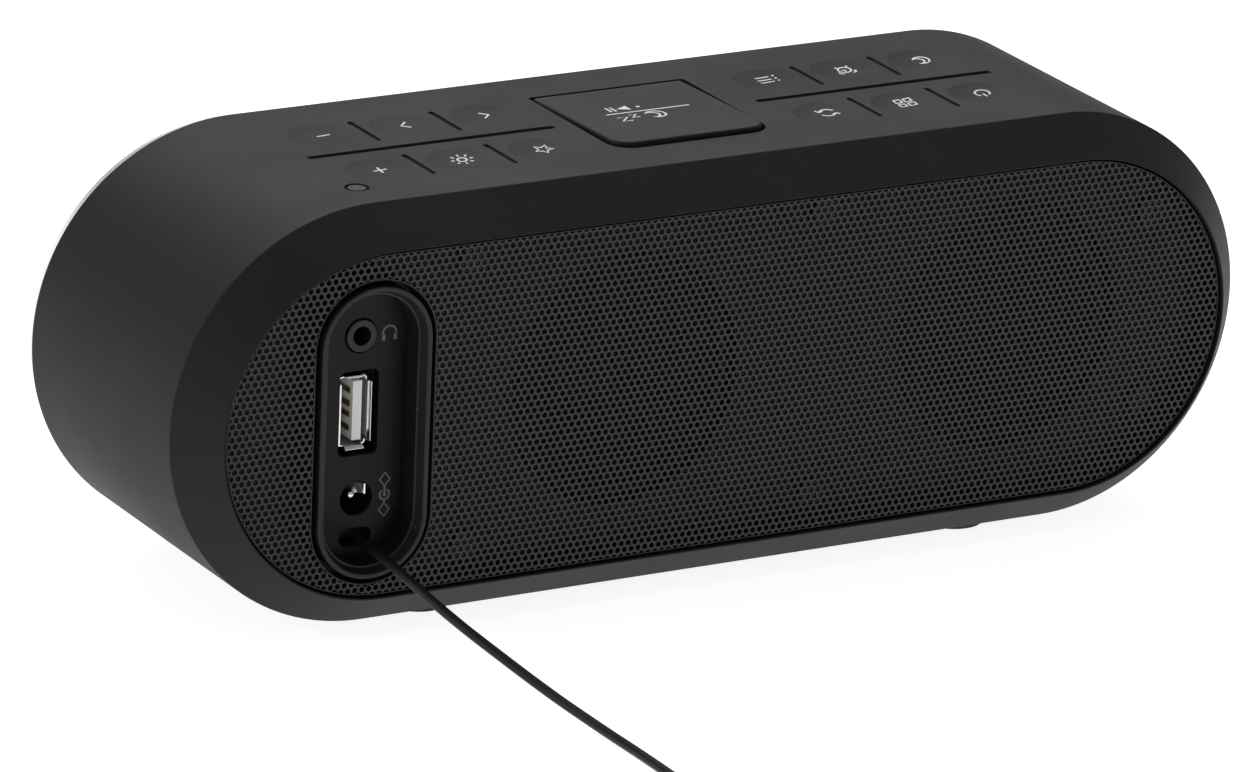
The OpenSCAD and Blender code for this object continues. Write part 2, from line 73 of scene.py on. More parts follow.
R = (sleeve_hi.z - sleeve_lo.z) / 2
HALF_L = sleeve_hi.x - R
ZC = (sleeve_hi.z + sleeve_lo.z) / 2
DECK = sleeve_hi.z
SKIN = 1.8 * MM
Y_SLEEVE = sleeve_lo.y
Y_BACK = sleeve_hi.y
RIM_DEPTH = 8 * MM
Y_RIM = Y_BACK - RIM_DEPTH
CREST_R = R - 6.6 * MM
WINDOW_R = CREST_R - 0.3 * MM
GRILLE_R = (grille_hi.z - grille_lo.z) / 2
Y_GRILLE = grille_hi.y
Y_RING = ring_hi.y
Y_FLOOR = floor_hi.y
BAY_X = (ring_lo.x + ring_hi.x) / 2
BAY_R = (ring_hi.x - ring_lo.x) / 2
BAY_HALF = (ring_hi.z - ring_lo.z) / 2 - BAY_R
BAY_Z = (ring_hi.z + ring_lo.z) / 2
DECK_MID = (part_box("key_plus")[0][1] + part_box("key_minus")[1][1]) / 2
print(f"body {2 * (HALF_L + R) / MM:.0f} x {2 * R / MM:.0f} mm, bay at x = {BAY_X / MM:.1f} mm")

# %% [markdown]
# ## Camera, floor and light
# The camera stands behind the radio at its right-hand end, a little above it, with a long lens.
# The radio stands on a plain table of white opal sheet that is lit from below, as product tables
# are, which washes out its shadow. A soft box hangs over the display side, so the deck is the
# brightest face and the bevel and the back stay dark, and a small one lights the right-hand end.

# %% Camera
def aim_camera(azimuth, elevation, roll, target, distance, lens):
    """A camera that looks at target; azimuth 0 looks along +Y."""
    az, el, tilt = (math.radians(a) for a in (azimuth, elevation, roll))
    back = Vector((math.sin(az) * math.cos(el), -math.cos(az) * math.cos(el), math.sin(el)))
    side = Vector((0, 0, 1)).cross(back).normalized()
    up = back.cross(side)
    right = math.cos(tilt) * side + math.sin(tilt) * up
    top = -math.sin(tilt) * side + math.cos(tilt) * up
    data = bpy.data.cameras.new("camera")
    data.lens = lens
    data.sensor_width = 36
    data.clip_end = 20
    camera = bpy.data.objects.new("camera", data)
    place = Matrix((right, top, back)).transposed().to_4x4()
    place.translation = target + distance * back
    camera.matrix_world = place
    bpy.context.scene.collection.objects.link(camera)
    bpy.context.scene.camera = camera
    return camera


camera = aim_camera(
    150.11, 18.91, 2.42, Vector((17.78, 25.5, 38.1)) * MM, distance=1.6306, lens=259.56
)
print("camera at", [round(v, 3) for v in camera.matrix_world.translation])


# %% Helpers for meshes
def mesh_piece(name, verts, faces, material=None, normals=None):
    """A smooth-shaded object at the origin; normals holds one vector for each face corner."""
    mesh = bpy.data.meshes.new(name)
    mesh.from_pydata([tuple(v) for v in verts], [], faces)
    mesh.shade_smooth()
    if normals:
        mesh.normals_split_custom_set([tuple(n) for n in normals])
    piece = bpy.data.objects.new(name, mesh)
    bpy.context.scene.collection.objects.link(piece)
    if material:
        mesh.materials.append(material)
    return piece


tiny = 0.001 * MM


class Builder:
    """Collects faces with a normal at each corner, and shares corners that coincide."""

    def __init__(self):
        self.verts, self.faces, self.normals, self.lookup = [], [], [], {}

    def index(self, point):
        key = tuple(round(c / (0.002 * MM)) for c in point)
        if key not in self.lookup:
            self.lookup[key] = len(self.verts)
            self.verts.append(Vector(point))
        return self.lookup[key]

    def face(self, points, normals):
        corners, kept = [], []
        for point, normal in zip(points, normals):
            i = self.index(point)
            if i not in corners:
                corners.append(i)
                kept.append(Vector(normal).normalized())
        if len(corners) < 3:
            return
        turning = Vector()
        for i, j in zip(corners, corners[1:] + corners[:1]):
            turning += self.verts[i].cross(self.verts[j])
        if turning.dot(sum(kept, Vector())) < 0:
            corners.reverse()
            kept.reverse()
        self.faces.append(corners)
        self.normals.extend(kept)

    def loft(self, ring_a, ring_b, normals_a, normals_b, closed=True):
        """Quads between two rings of equal length, each with its own normals."""
        count = len(ring_a)
        for i in range(count if closed else count - 1):
            j = (i + 1) % count
            self.face(
                [ring_a[i], ring_a[j], ring_b[j], ring_b[i]],
                [normals_a[i], normals_a[j], normals_b[j], normals_b[i]],
            )

    def cap(self, ring, normal):
        self.face(ring, [normal] * len(ring))

    def piece(self, name, material=None):
        return mesh_piece(name, self.verts, self.faces, material, self.normals)


def rounded(corners, steps=4):
    """Round the corners of a closed outline of (u, v, radius).

    Returns (u, v, nu, nv): each point with its outward normal, for an outline that runs
    counter-clockwise in (u, v)."""
    outline = []
    count = len(corners)
    for i, (u, v, radius) in enumerate(corners):
        here = Vector((u, v))
        before = (Vector(corners[i - 1][:2]) - here).normalized()
        after = (Vector(corners[(i + 1) % count][:2]) - here).normalized()
        n_in = Vector((-before.y, before.x))
        n_out = Vector((after.y, -after.x))
        if radius <= 0:
            outline.append((u, v, n_in.x, n_in.y))
            outline.append((u, v, n_out.x, n_out.y))
            continue
        half = before.angle(after) / 2
        cut = radius / math.tan(half)
        centre = here + (before + after).normalized() * radius / math.sin(half)
        start, end = here + before * cut, here + after * cut
        turn = 1 if (start - centre).dot(n_in) > 0 else -1
        for k in range(steps + 1):
            normal = n_in.slerp(n_out, k / steps)
            point = centre + turn * radius * normal
            if k == 0:
                point = start
            elif k == steps:
                point = end
            outline.append((point.x, point.y, normal.x, normal.y))
    return outline


def pill_path(half, centre, arc_steps):
    """Samples (middle x, direction) once round a level pill, seen along Y."""
    cx, cz = centre
    samples = []
    for side, start in ((1, -90), (-1, 90)):
        for k in range(arc_steps + 1):
            a = math.radians(start + 180 * k / arc_steps)
            samples.append((Vector((cx + side * half, 0, cz)), Vector((math.cos(a), 0, math.sin(a)))))
    return samples


def upright_path(half, centre, arc_steps):
    """The same round an upright pill, as the connector bay is."""
    cx, cz = centre
    samples = []
    for side, start in ((1, 0), (-1, 180)):
        for k in range(arc_steps + 1):
            a = math.radians(start + 180 * k / arc_steps)
            samples.append((Vector((cx, 0, cz + side * half)), Vector((math.cos(a), 0, math.sin(a)))))
    return samples


def frame_path(x0, x1, z0, z1, steps=5):
    """Samples (corner middle, direction) once round a rectangle with rounded corners."""
    samples = []
    for number, (x, z) in enumerate(((x1, z0), (x1, z1), (x0, z1), (x0, z0))):
        for k in range(steps + 1):
            a = math.radians(-90 + 90 * number + 90 * k / steps)
            samples.append((Vector((x, 0, z)), Vector((math.cos(a), 0, math.sin(a)))))
    return samples


def sweep(build, outline, path, skip=lambda i, j: False):
    """Carry a closed outline of (radius, y, normals) round a closed path."""
    rings = []
    for middle, out in path:
        ring = [middle + out * u + Vector((0, v, 0)) for u, v, _, _ in outline]
        normals = [out * nu + Vector((0, nv, 0)) for _, _, nu, nv in outline]
        rings.append((ring, normals))
    for i, (ring_a, normals_a) in enumerate(rings):
        ring_b, normals_b = rings[(i + 1) % len(rings)]
        for j in range(len(outline)):
            k = (j + 1) % len(outline)
            on_axis = max(outline[j][0], outline[k][0]) < tiny
            if on_axis or skip(i, j):
                continue
            build.face(
                [ring_a[j], ring_b[j], ring_b[k], ring_a[k]],
                [normals_a[j], normals_b[j], normals_b[k], normals_a[k]],
            )


print("helpers ready: Builder, rounded outlines, pill sweeps")

# %% [markdown]
# ## Shader groups shared by the materials
# Moulded plastic, rubber, paint and card all share two effects at different sizes: a fine grain
# that breaks the highlights, and a slow mottling from handling, dust and uneven moulding. Each is
# one node group with named inputs, built once and placed in every material with its own values.


# %% Grain and mottling groups
def new_group(name, inputs, outputs):
    group = bpy.data.node_groups.new(name, "ShaderNodeTree")
    for label, value in inputs:
        socket = group.interface.new_socket(label, in_out="INPUT", socket_type="NodeSocketFloat")
        socket.default_value = value
    for label in outputs:
        group.interface.new_socket(label, in_out="OUTPUT", socket_type="NodeSocketFloat")
    nodes = group.nodes
    entry, leave = nodes.new("NodeGroupInput"), nodes.new("NodeGroupOutput")
    return group, nodes, group.links, entry, leave


def math_node(nodes, links, operation, a, b=None, clamp=False):
    node = nodes.new("ShaderNodeMath")
    node.operation = operation
    node.use_clamp = clamp
    for socket, value in zip(node.inputs, (a, b)):
        if value is None:
            continue
        if isinstance(value, (int, float)):
            socket.default_value = value
        else:
            links.new(value, socket)
    return node.outputs[0]


def make_grain():
    """Fine moulded grain: two sizes of noise added, out as a height and as a mask."""
    group, nodes, links, entry, leave = new_group(
        "moulded_grain", [("Grains per metre", 2200), ("Second size", 0.35)], ["Height", "Mask"]
    )
    place = nodes.new("ShaderNodeTexCoord")
    fine, coarse = nodes.new("ShaderNodeTexNoise"), nodes.new("ShaderNodeTexNoise")
    for noise in (fine, coarse):
        links.new(place.outputs["Object"], noise.inputs["Vector"])
        noise.inputs["Detail"].default_value = 2
    links.new(entry.outputs["Grains per metre"], fine.inputs["Scale"])
    wider = math_node(nodes, links, "MULTIPLY", entry.outputs["Grains per metre"], 0.31)
    links.new(wider, coarse.inputs["Scale"])
    part = math_node(nodes, links, "MULTIPLY", coarse.outputs["Fac"], entry.outputs["Second size"])
    height = math_node(nodes, links, "ADD", fine.outputs["Fac"], part)
    links.new(height, leave.inputs["Height"])
    links.new(fine.outputs["Fac"], leave.inputs["Mask"])
    return group


def make_mottle():
    """Slow patches of handling and dust, from 0 to 1, with a few lighter specks."""
    group, nodes, links, entry, leave = new_group(
        "handling_mottle", [("Patches per metre", 45), ("Specks per metre", 700), ("Specks", 0.3)],
        ["Patches", "Specks"],
    )
    place = nodes.new("ShaderNodeTexCoord")
    patches = nodes.new("ShaderNodeTexNoise")
    patches.inputs["Detail"].default_value = 5
    patches.inputs["Roughness"].default_value = 0.6
    links.new(place.outputs["Object"], patches.inputs["Vector"])
    links.new(entry.outputs["Patches per metre"], patches.inputs["Scale"])
    spread = math_node(nodes, links, "MULTIPLY_ADD", patches.outputs["Fac"], 2.4)
    spread.node.inputs[2].default_value = -0.7
    spread.node.use_clamp = True
    specks = nodes.new("ShaderNodeTexVoronoi")
    links.new(place.outputs["Object"], specks.inputs["Vector"])
    links.new(entry.outputs["Specks per metre"], specks.inputs["Scale"])
    near = math_node(nodes, links, "LESS_THAN", specks.outputs["Distance"], 0.16)
    sparse = nodes.new("ShaderNodeSeparateColor")
    links.new(specks.outputs["Color"], sparse.inputs[0])
    chosen = math_node(nodes, links, "LESS_THAN", sparse.outputs[0], entry.outputs["Specks"])
    both = math_node(nodes, links, "MULTIPLY", near, chosen)
    links.new(spread, leave.inputs["Patches"])
    links.new(both, leave.inputs["Specks"])
    return group


grain_group, mottle_group = make_grain(), make_mottle()
print("shader groups:", grain_group.name, mottle_group.name)


# %% One recipe for every moulded or painted finish
def grey(value):
    return (value, value, value, 1)


def finish(
    name, colour, patch_colour=None, roughness=0.5, spread=0.08, metallic=0.0, specular=0.5,
    grains=2200, grain_height=0.02, patches=45, specks=0.0, extra=None,
):
    """A Principled material with grain in its normal and mottling in its colour and roughness."""
    material = bpy.data.materials.new(name)
    material.use_nodes = True
    nodes, links = material.node_tree.nodes, material.node_tree.links
    shader = nodes["Principled BSDF"]
    shader.inputs["Metallic"].default_value = metallic
    shader.inputs["Specular IOR Level"].default_value = specular
    grain = nodes.new("ShaderNodeGroup")
    grain.node_tree = grain_group
    grain.inputs["Grains per metre"].default_value = grains
    mottle = nodes.new("ShaderNodeGroup")
    mottle.node_tree = mottle_group
    mottle.inputs["Patches per metre"].default_value = patches
    mottle.inputs["Specks"].default_value = specks
    tone = nodes.new("ShaderNodeMix")
    tone.data_type = "RGBA"
    tone.inputs["A"].default_value = colour
    tone.inputs["B"].default_value = patch_colour or tuple(c * 1.35 for c in colour[:3]) + (1,)
    links.new(mottle.outputs["Patches"], tone.inputs["Factor"])
    dusty = nodes.new("ShaderNodeMix")
    dusty.data_type = "RGBA"
    dusty.inputs["B"].default_value = grey(0.16)
    links.new(math_node(nodes, links, "MULTIPLY", mottle.outputs["Specks"], 0.35), dusty.inputs["Factor"])
    links.new(tone.outputs["Result"], dusty.inputs["A"])
    links.new(dusty.outputs["Result"], shader.inputs["Base Color"])
    rough = nodes.new("ShaderNodeMapRange")
    links.new(mottle.outputs["Patches"], rough.inputs["Value"])
    rough.inputs["To Min"].default_value = roughness - spread / 2
    rough.inputs["To Max"].default_value = roughness + spread / 2
    links.new(rough.outputs["Result"], shader.inputs["Roughness"])
    bump = nodes.new("ShaderNodeBump")
    bump.inputs["Strength"].default_value = 0.6
    bump.inputs["Distance"].default_value = grain_height * MM
    links.new(grain.outputs["Height"], bump.inputs["Height"])
    links.new(bump.outputs["Normal"], shader.inputs["Normal"])
    if extra:
        extra(nodes, links, shader, dusty)
    return material


# %% [markdown]
# ## Materials
# The radio is almost all dark grey, so its parts are told apart by how they reflect: dull rubber
# on the sleeve, satin paint on the steel grille, smooth plastic in the bay, bright plating inside
# the sockets. Each finish below is one call of the recipe, and the few that need more, such as a
# circuit board or a paper cone, add their own pattern.


# %% The outside finishes
M = {}
M["soft_rubber"] = finish(
    "soft_rubber", grey(0.0105), grey(0.0145), roughness=0.58, spread=0.1, specular=0.16,
    grains=3600, grain_height=0.03, patches=38, specks=0,
)
M["snooze_rubber"] = finish(
    "snooze_rubber", grey(0.0085), grey(0.0115), roughness=0.54, spread=0.08, specular=0.16,
    grains=3600, grain_height=0.022, patches=60, specks=0,
)
M["grille_steel"] = finish(
    "painted_grille_steel", grey(0.0105), grey(0.014), roughness=0.3, spread=0.1, specular=0.36,
    grains=5200, grain_height=0.012, patches=90, specks=0.03,
)
M["bay_plastic"] = finish(
    "bay_plastic", grey(0.0085), grey(0.0115), roughness=0.42, spread=0.08, specular=0.3,
    grains=4200, grain_height=0.012, patches=120, specks=0.04,
)
M["bay_floor_plastic"] = finish(
    "bay_floor_plastic", grey(0.0035), grey(0.0050), roughness=0.48, spread=0.08, specular=0.2,
    grains=4200, grain_height=0.012, patches=120,
)
M["ring_black"] = finish(
    "ring_black", grey(0.0022), grey(0.0032), roughness=0.8, spread=0.06, specular=0.03,
    grains=4200, grain_height=0.01, patches=200,
)
M["socket_plastic"] = finish(
    "socket_plastic", grey(0.012), grey(0.017), roughness=0.34, spread=0.08, specular=0.4,
    grains=3000, grain_height=0.01, patches=140,
)
M["silver_trim"] = finish(
    "silver_trim", grey(0.58), grey(0.66), roughness=0.24, spread=0.08, metallic=1.0,
    grains=6000, grain_height=0.004, patches=70,
)
M["bright_metal"] = finish(
    "bright_plating", grey(0.78), grey(0.86), roughness=0.14, spread=0.08, metallic=1.0,
    grains=4000, grain_height=0.004, patches=300,
)
M["white_plastic"] = finish(
    "white_plastic", grey(0.75), grey(0.82), roughness=0.4, spread=0.06,
    grains=5000, grain_height=0.004, patches=160,
)
M["bay_print"] = finish(
    "bay_print", grey(0.10), grey(0.13), roughness=0.5, spread=0.06,
    grains=5000, grain_height=0.004, patches=300,
)
M["wire_sheath"] = finish(
    "wire_sheath", grey(0.0055), grey(0.0075), roughness=0.5, spread=0.08, specular=0.28,
    grains=2600, grain_height=0.012, patches=90,
)
M["tie_strap"] = finish(
    "tie_strap", grey(0.02), grey(0.03), roughness=0.5, grains=1800, grain_height=0.03, patches=160
)
M["foot_rubber"] = finish(
    "foot_rubber", grey(0.018), grey(0.03), roughness=0.75, grains=2000, grain_height=0.05,
    patches=160, specks=0.2,
)
M["sensor_window"] = finish(
    "sensor_window", grey(0.014), grey(0.018), roughness=0.45, specular=0.22,
    grains=4000, grain_height=0.004, patches=300,
)
M["gold_contact"] = finish(
    "gold_contact", (0.42, 0.30, 0.13, 1), (0.48, 0.36, 0.17, 1), roughness=0.3, metallic=1.0,
    grains=5000, grain_height=0.004, patches=300,
)
M["hard_plastic"] = finish(
    "hard_plastic", grey(0.014), grey(0.020), roughness=0.5, grains=1800, grain_height=0.03,
    patches=50,
)
print(len(M), "outside finishes")

# %% [markdown]
# ## The aerial wire
# The aerial is 1.5 m of thin insulated wire that leaves a slot in the connector bay. It comes
# straight out, droops to the table under its own weight and runs along it. The rest is wound into
# a neat coil held by a strap. The loose stretch is a short list of points with a smooth curve
# through them, and a loop lays the turns of the coil, a diameter apart, in rows and layers. A thin
# band holds the turns, and a small moulded tip with grip rings closes the far end. All of it is
# made first, because the room that it takes up has to agree with the frame.

# %% Aerial wire
WIRE = 1.8 * MM
EXIT = (73.5, 27, 17.6)
ROUTE = [
    (73.5, 22, 17.6), EXIT, (73.4, 32, 17.4), (73, 38, 16.8),
    (72.1, 44.5, 15.4), (70.5, 51, 13.2), (68.1, 58, 10.5), (65.3, 65, 7.8),
    (62.5, 72, 5.2), (60.1, 79, 3.1), (58.3, 86, 1.7), (57.3, 93, 1),
    (57, 100, 0.9), (56.9, 107, 0.9), (56.9, 114, 0.9), (56.9, 121, 0.9),
    (57, 128, 0.9), (57, 135, 1), (57, 142, 1.3), (57, 148, 1.5),
]
coil_lo, coil_hi = (Vector(corner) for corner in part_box("aerial_coil"))
tip_lo, tip_hi = (Vector(corner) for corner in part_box("aerial_tip"))
coil_middle = (coil_lo + coil_hi) / 2
COIL_OUT = (coil_hi.x - coil_lo.x) / 2 - WIRE / 2
COLUMNS, LAYERS = 5, 4


def ease(x):
    x = min(1, max(0, x))
    return x * x * (3 - 2 * x)


def coil_points(steps=30):
    """One turn per column, then up a layer and back; a turn steps sideways or up near its end."""
    points = []
    for turn in range(COLUMNS * LAYERS):
        layer, column = divmod(turn, COLUMNS)
        inward = layer % 2 == 0
        start = COIL_OUT - WIRE * (column if inward else COLUMNS - 1 - column)
        last = column == COLUMNS - 1
        for k in range(steps):
            part = k / steps
            angle = math.pi * (1 - 2 * part)
            sideways = 0 if last else ease((part - 0.33) * 3) * WIRE * (-1 if inward else 1)
            rise = ease((part - 0.69) / 0.28) * WIRE if last else 0
            radius = start + sideways
            points.append(Vector((
                coil_middle.x + radius * math.cos(angle),
                coil_middle.y + radius * math.sin(angle),
                coil_lo.z + WIRE * (0.5 + layer) + rise,
            )))
    return points


def tail_points():
    """Over the top of the coil, across the strap and into the moulded tip."""
    top = coil_hi.z + WIRE / 2
    points = []
    for degrees, radius, lift in (
        (180, 14.4, 0), (150, 14.3, 0), (115, 13.2, 0), (80, 11.8, 0.1), (45, 11, 0.4),
        (15, 10.8, 0.65), (-12, 10.9, 0.65), (-35, 11.1, 0.5), (-54, 11.5, 0.4),
    ):
        a = math.radians(degrees)
        points.append(Vector((
            coil_middle.x + radius * MM * math.cos(a),
            coil_middle.y + radius * MM * math.sin(a),
            top + lift * MM,
        )))
    tip_middle = (tip_lo + tip_hi) / 2
    for inside in (0, 1.2):
        points.append(Vector((tip_hi.x - inside * MM, tip_middle.y, tip_middle.z)))
    return points


def smooth_through(points, steps):
    """A Catmull-Rom curve through every point."""
    out = []
    for i in range(len(points) - 1):
        a, b, c, d = (points[min(len(points) - 1, max(0, i + k))] for k in (-1, 0, 1, 2))
        for k in range(steps):
            t = k / steps
            out.append(
                ((2 * b) + (c - a) * t + (2 * a - 5 * b + 4 * c - d) * t**2
                 + (3 * b - a - 3 * c + d) * t**3) / 2
            )
    return out + [points[-1]]


def curve_piece(name, points, radius, material):
    data = bpy.data.curves.new(name, "CURVE")
    data.dimensions = "3D"
    data.bevel_depth = radius
    data.bevel_resolution = 3
    data.use_fill_caps = True
    spline = data.splines.new("POLY")
    spline.points.add(len(points) - 1)
    for slot, point in zip(spline.points, points):
        slot.co = (*point, 1)
    data.materials.append(material)
    piece = bpy.data.objects.new(name, data)
    bpy.context.scene.collection.objects.link(piece)
    return piece


# %% Aerial tip and strap
def make_tip():
    """A tip turned about its own line, with three grip rings; profile: (x, radius, normal)."""
    build = Builder()
    middle, radius = (tip_lo + tip_hi) / 2, (tip_hi.z - tip_lo.z) / 2
    half, soft = (tip_hi.x - tip_lo.x) / 2, 0.5 * MM
    groove, spacing = 0.25 * MM, 1.6 * MM
    profile = [(-half, 0, -1, 0), (-half, radius - soft, -1, 0), (-half + soft, radius, 0, 1)]
    for x in (-spacing, 0, spacing):
        profile += [(x - 2 * groove, radius, 0, 1), (x - groove, radius - groove, 0, 1),
                    (x + groove, radius - groove, 0, 1), (x + 2 * groove, radius, 0, 1)]
    profile += [(half - soft, radius, 0, 1), (half, radius - soft, 1, 0), (half, 0, 1, 0)]
    turns = [math.tau * k / 24 for k in range(24)]
    spokes = [Vector((0, math.cos(a), math.sin(a))) for a in turns]
    before = None
    for x, r, along, out in profile:
        ring = [middle + Vector((x, 0, 0)) + spoke * r for spoke in spokes]
        normals = [Vector((along, 0, 0)) + spoke * out for spoke in spokes]
        if before:
            build.loft(before[0], ring, before[1], normals)
        before = (ring, normals)
    return build.piece("aerial_end_tip", M["hard_plastic"])


def make_strap():
    """A band once round the section of the coil."""
    build = Builder()
    lo, hi = (Vector(corner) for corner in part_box("aerial_tie"))
    corner, thick, half, soft = 0.9 * MM, 0.5 * MM, 2.6 * MM, 0.15 * MM
    inner_x = coil_hi.x - COLUMNS * WIRE - 0.6 * MM
    y0, y1 = (lo.y + hi.y) / 2 - half, (lo.y + hi.y) / 2 + half
    outline = rounded([
        (corner - thick, y0, soft), (corner, y0, soft),
        (corner, y1, soft), (corner - thick, y1, soft),
    ])
    sweep(build, outline, frame_path(inner_x + corner, hi.x - corner, lo.z + corner, hi.z - corner))
    return build.piece("aerial_strap", M["tie_strap"])


end_tip, strap = make_tip(), make_strap()
for piece, node, slot_name in (
    (end_tip, "aerial_tip", "wire_sheath"), (strap, "aerial_tie", "tie_strap"),
):
    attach(piece, "cabinet")
    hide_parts(node)
print("aerial end:", end_tip.name, strap.name)


# %% Aerial cable
loose = smooth_through([Vector(p) * MM for p in ROUTE[1:]] + coil_points()[:1], 6)[:-1]
wire_line = loose + coil_points() + smooth_through(tail_points(), 6)
wire_length = sum((b - a).length for a, b in zip(wire_line, wire_line[1:]))
aerial = curve_piece("aerial_cable", wire_line, WIRE / 2, M["wire_sheath"])
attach(aerial, "cabinet")
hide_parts("aerial_wire", "aerial_coil")
print(f"aerial: {wire_length:.3f} m in {COLUMNS * LAYERS} turns")

# %% [markdown]
# ## Floor and light
# The floor reaches past the edge of every view, so no horizon shows, and the room around it has
# the same pale tone. Opal sheet scatters what falls on it and passes on some of the light from
# below, so its surface has a dull white colour and a steady glow of its own.


# %% Floor, room and lamps
TABLE_GLOW = 0.88
ROOM_LIGHT = 0.36


def pale_floor():
    material = bpy.data.materials.new("pale_floor")
    material.use_nodes = True
    shader = material.node_tree.nodes["Principled BSDF"]
    shader.inputs["Base Color"].default_value = grey(0.5)
    shader.inputs["Roughness"].default_value = 0.9
    shader.inputs["Specular IOR Level"].default_value = 0.1
    shader.inputs["Emission Color"].default_value = grey(1)
    shader.inputs["Emission Strength"].default_value = TABLE_GLOW
    half = 6
    corners = [(-half, -half, 0), (half, -half, 0), (half, half, 0), (-half, half, 0)]
    sheet = mesh_piece("studio_floor", corners, [(0, 1, 2, 3)], material)
    return sheet


def soft_box(name, place, aim, width, height, watts):
    data = bpy.data.lights.new(name, "AREA")
    data.shape = "RECTANGLE"
    data.size, data.size_y, data.energy = width, height, watts
    lamp = bpy.data.objects.new(name, data)
    lamp.location = place
    lamp.rotation_euler = (Vector(aim) - Vector(place)).to_track_quat("-Z", "Y").to_euler()
    bpy.context.scene.collection.objects.link(lamp)
    return lamp


def pale_room(strength):
    world = bpy.data.worlds.new("pale_room")
    world.use_nodes = True
    background = world.node_tree.nodes["Background"]
    background.inputs["Color"].default_value = grey(1)
    background.inputs["Strength"].default_value = strength
    bpy.context.scene.world = world


pale_floor()
pale_room(ROOM_LIGHT)
soft_box("overhead_box", (-0.2, -0.85, 1.05), (0, 0, 0), 1.3, 1.0, 12)
soft_box("end_box", (1.5, -0.3, 0.55), (0.05, 0, 0.04), 0.6, 0.9, 5)
bpy.context.scene.view_settings.view_transform = "Standard"

# %% [markdown]
# ## Plan outlines and filled plates
# The deck is one flat rubber face full of openings: twelve round dishes, ten grooves, the snooze
# plate and a sensor. Cutting them with booleans would leave ragged shading, so the face is filled
# by a constrained triangulation round rings that are placed exactly, and each ring then carries
# its own rounded edge and wall down into the rubber. The same two helpers make the bay's floor.


# %% Helpers for openings
def circle_plan(x, y, radius, count=48):
    plan = []
    for k in range(count):
        n = Vector((math.cos(math.tau * k / count), math.sin(math.tau * k / count)))
        plan.append((Vector((x, y)) + n * radius, n))
    return plan


def box_plan(x0, x1, y0, y1, radii, steps=6):
    """Rounded rectangle; radii are for the corners at (x1,y0), (x1,y1), (x0,y1), (x0,y0)."""
    plan = []
    corners = ((x1, y0, -1, 1), (x1, y1, -1, -1), (x0, y1, 1, -1), (x0, y0, 1, 1))
    for number, ((x, y, sx, sy), radius) in enumerate(zip(corners, radii)):
        middle = Vector((x + sx * radius, y + sy * radius))
        for k in range(steps + 1):
            a = math.radians(-90 + 90 * number + 90 * k / steps)
            n = Vector((math.cos(a), math.sin(a)))
            plan.append((middle + n * radius, n))
    return plan


def slot_plan(x0, x1, y0, y1, steps=6):
    radius = min(x1 - x0, y1 - y0) / 2
    return box_plan(x0, x1, y0, y1, [radius] * 4, steps)


def distinct(points):
    kept = [p for p, q in zip(points, points[-1:] + points[:-1]) if (p - q).length > tiny]
    return kept or points[:1]


def fill(build, border, rings, place, normal, lines=()):
    """Triangulate the face inside border and outside every ring of plan points."""
    points, edges, loops = [], [], []
    for loop in [border] + rings:
        first = len(points)
        loop = distinct(loop)
        area = sum(p.cross(q) for p, q in zip(loop, loop[1:] + loop[:1]))
        points.extend(loop if area > 0 else reversed(loop))
        loops.append(list(range(first, len(points))))
    index = {tuple(round(c / tiny) for c in p): i for i, p in enumerate(points)}
    for a, b in lines:
        ends = []
        for p in (a, b):
            key = tuple(round(c / tiny) for c in p)
            if key not in index:
                index[key] = len(points)
                points.append(p)
            ends.append(index[key])
        edges.append(tuple(ends))
    verts, _, faces, _, _, owners = geometry.delaunay_2d_cdt(points, edges, loops, 1, tiny / 10)
    for face, owner in zip(faces, owners):
        if list(owner) == [0]:
            build.face([place(verts[i]) for i in face], [normal(verts[i]) for i in face])


def well(build, plan, profile, place, inward, up):
    """Loft a hole's edge and wall: profile holds (offset, depth, tilt) with tilt 0 = up, 90 = wall."""
    before = None
    for offset, depth, tilt in profile:
        c, s = math.cos(math.radians(tilt)), math.sin(math.radians(tilt))
        ring = [place(p + n * offset, depth) for p, n in plan]
        normals = [up(p) * c + inward(n) * s for p, n in plan]
        if before:
            build.loft(before[0], ring, before[1], normals)
        before = (ring, normals)
    return before


def edge_profile(radius, steps=4):
    """A rounded top edge, from the face down to the wall."""
    return [
        (radius * (1 - math.sin(a)), -radius * (1 - math.cos(a)), math.degrees(a))
        for a in (math.pi / 2 * k / steps for k in range(steps + 1))
    ]


print("plan helpers ready")

# %% [markdown]
# ## The rubber sleeve
# On the real radio one soft-touch moulding wraps the whole body and turns in over the back, with a
# crisp fold where the bevelled rim starts. Its section is a closed outline with every corner
# rounded, carried round the pill. Exact normals travel with it, so the flat deck stays flat in
# reflections and the rounding stays tight.

# %% Sleeve: places of the openings
KEY_NAMES = ["plus", "dimmer", "preset", "minus", "back", "forward",
             "scan", "mode", "power", "info", "alarm", "sleep"]
KEY_AT = {}
for key in KEY_NAMES:
    lo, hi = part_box(f"key_{key}")
    KEY_AT[key] = Vector(((lo[0] + hi[0]) / 2, (lo[1] + hi[1]) / 2))
KEY_RIM = 6.6 * MM
PITCH = abs(KEY_AT["plus"].x - KEY_AT["dimmer"].x)
EDGE = 0.15 * MM
CROSS_GROOVE = 0.5 * MM
LONG_GROOVE = 0.75 * MM
GROOVE_DEPTH = 0.55 * MM


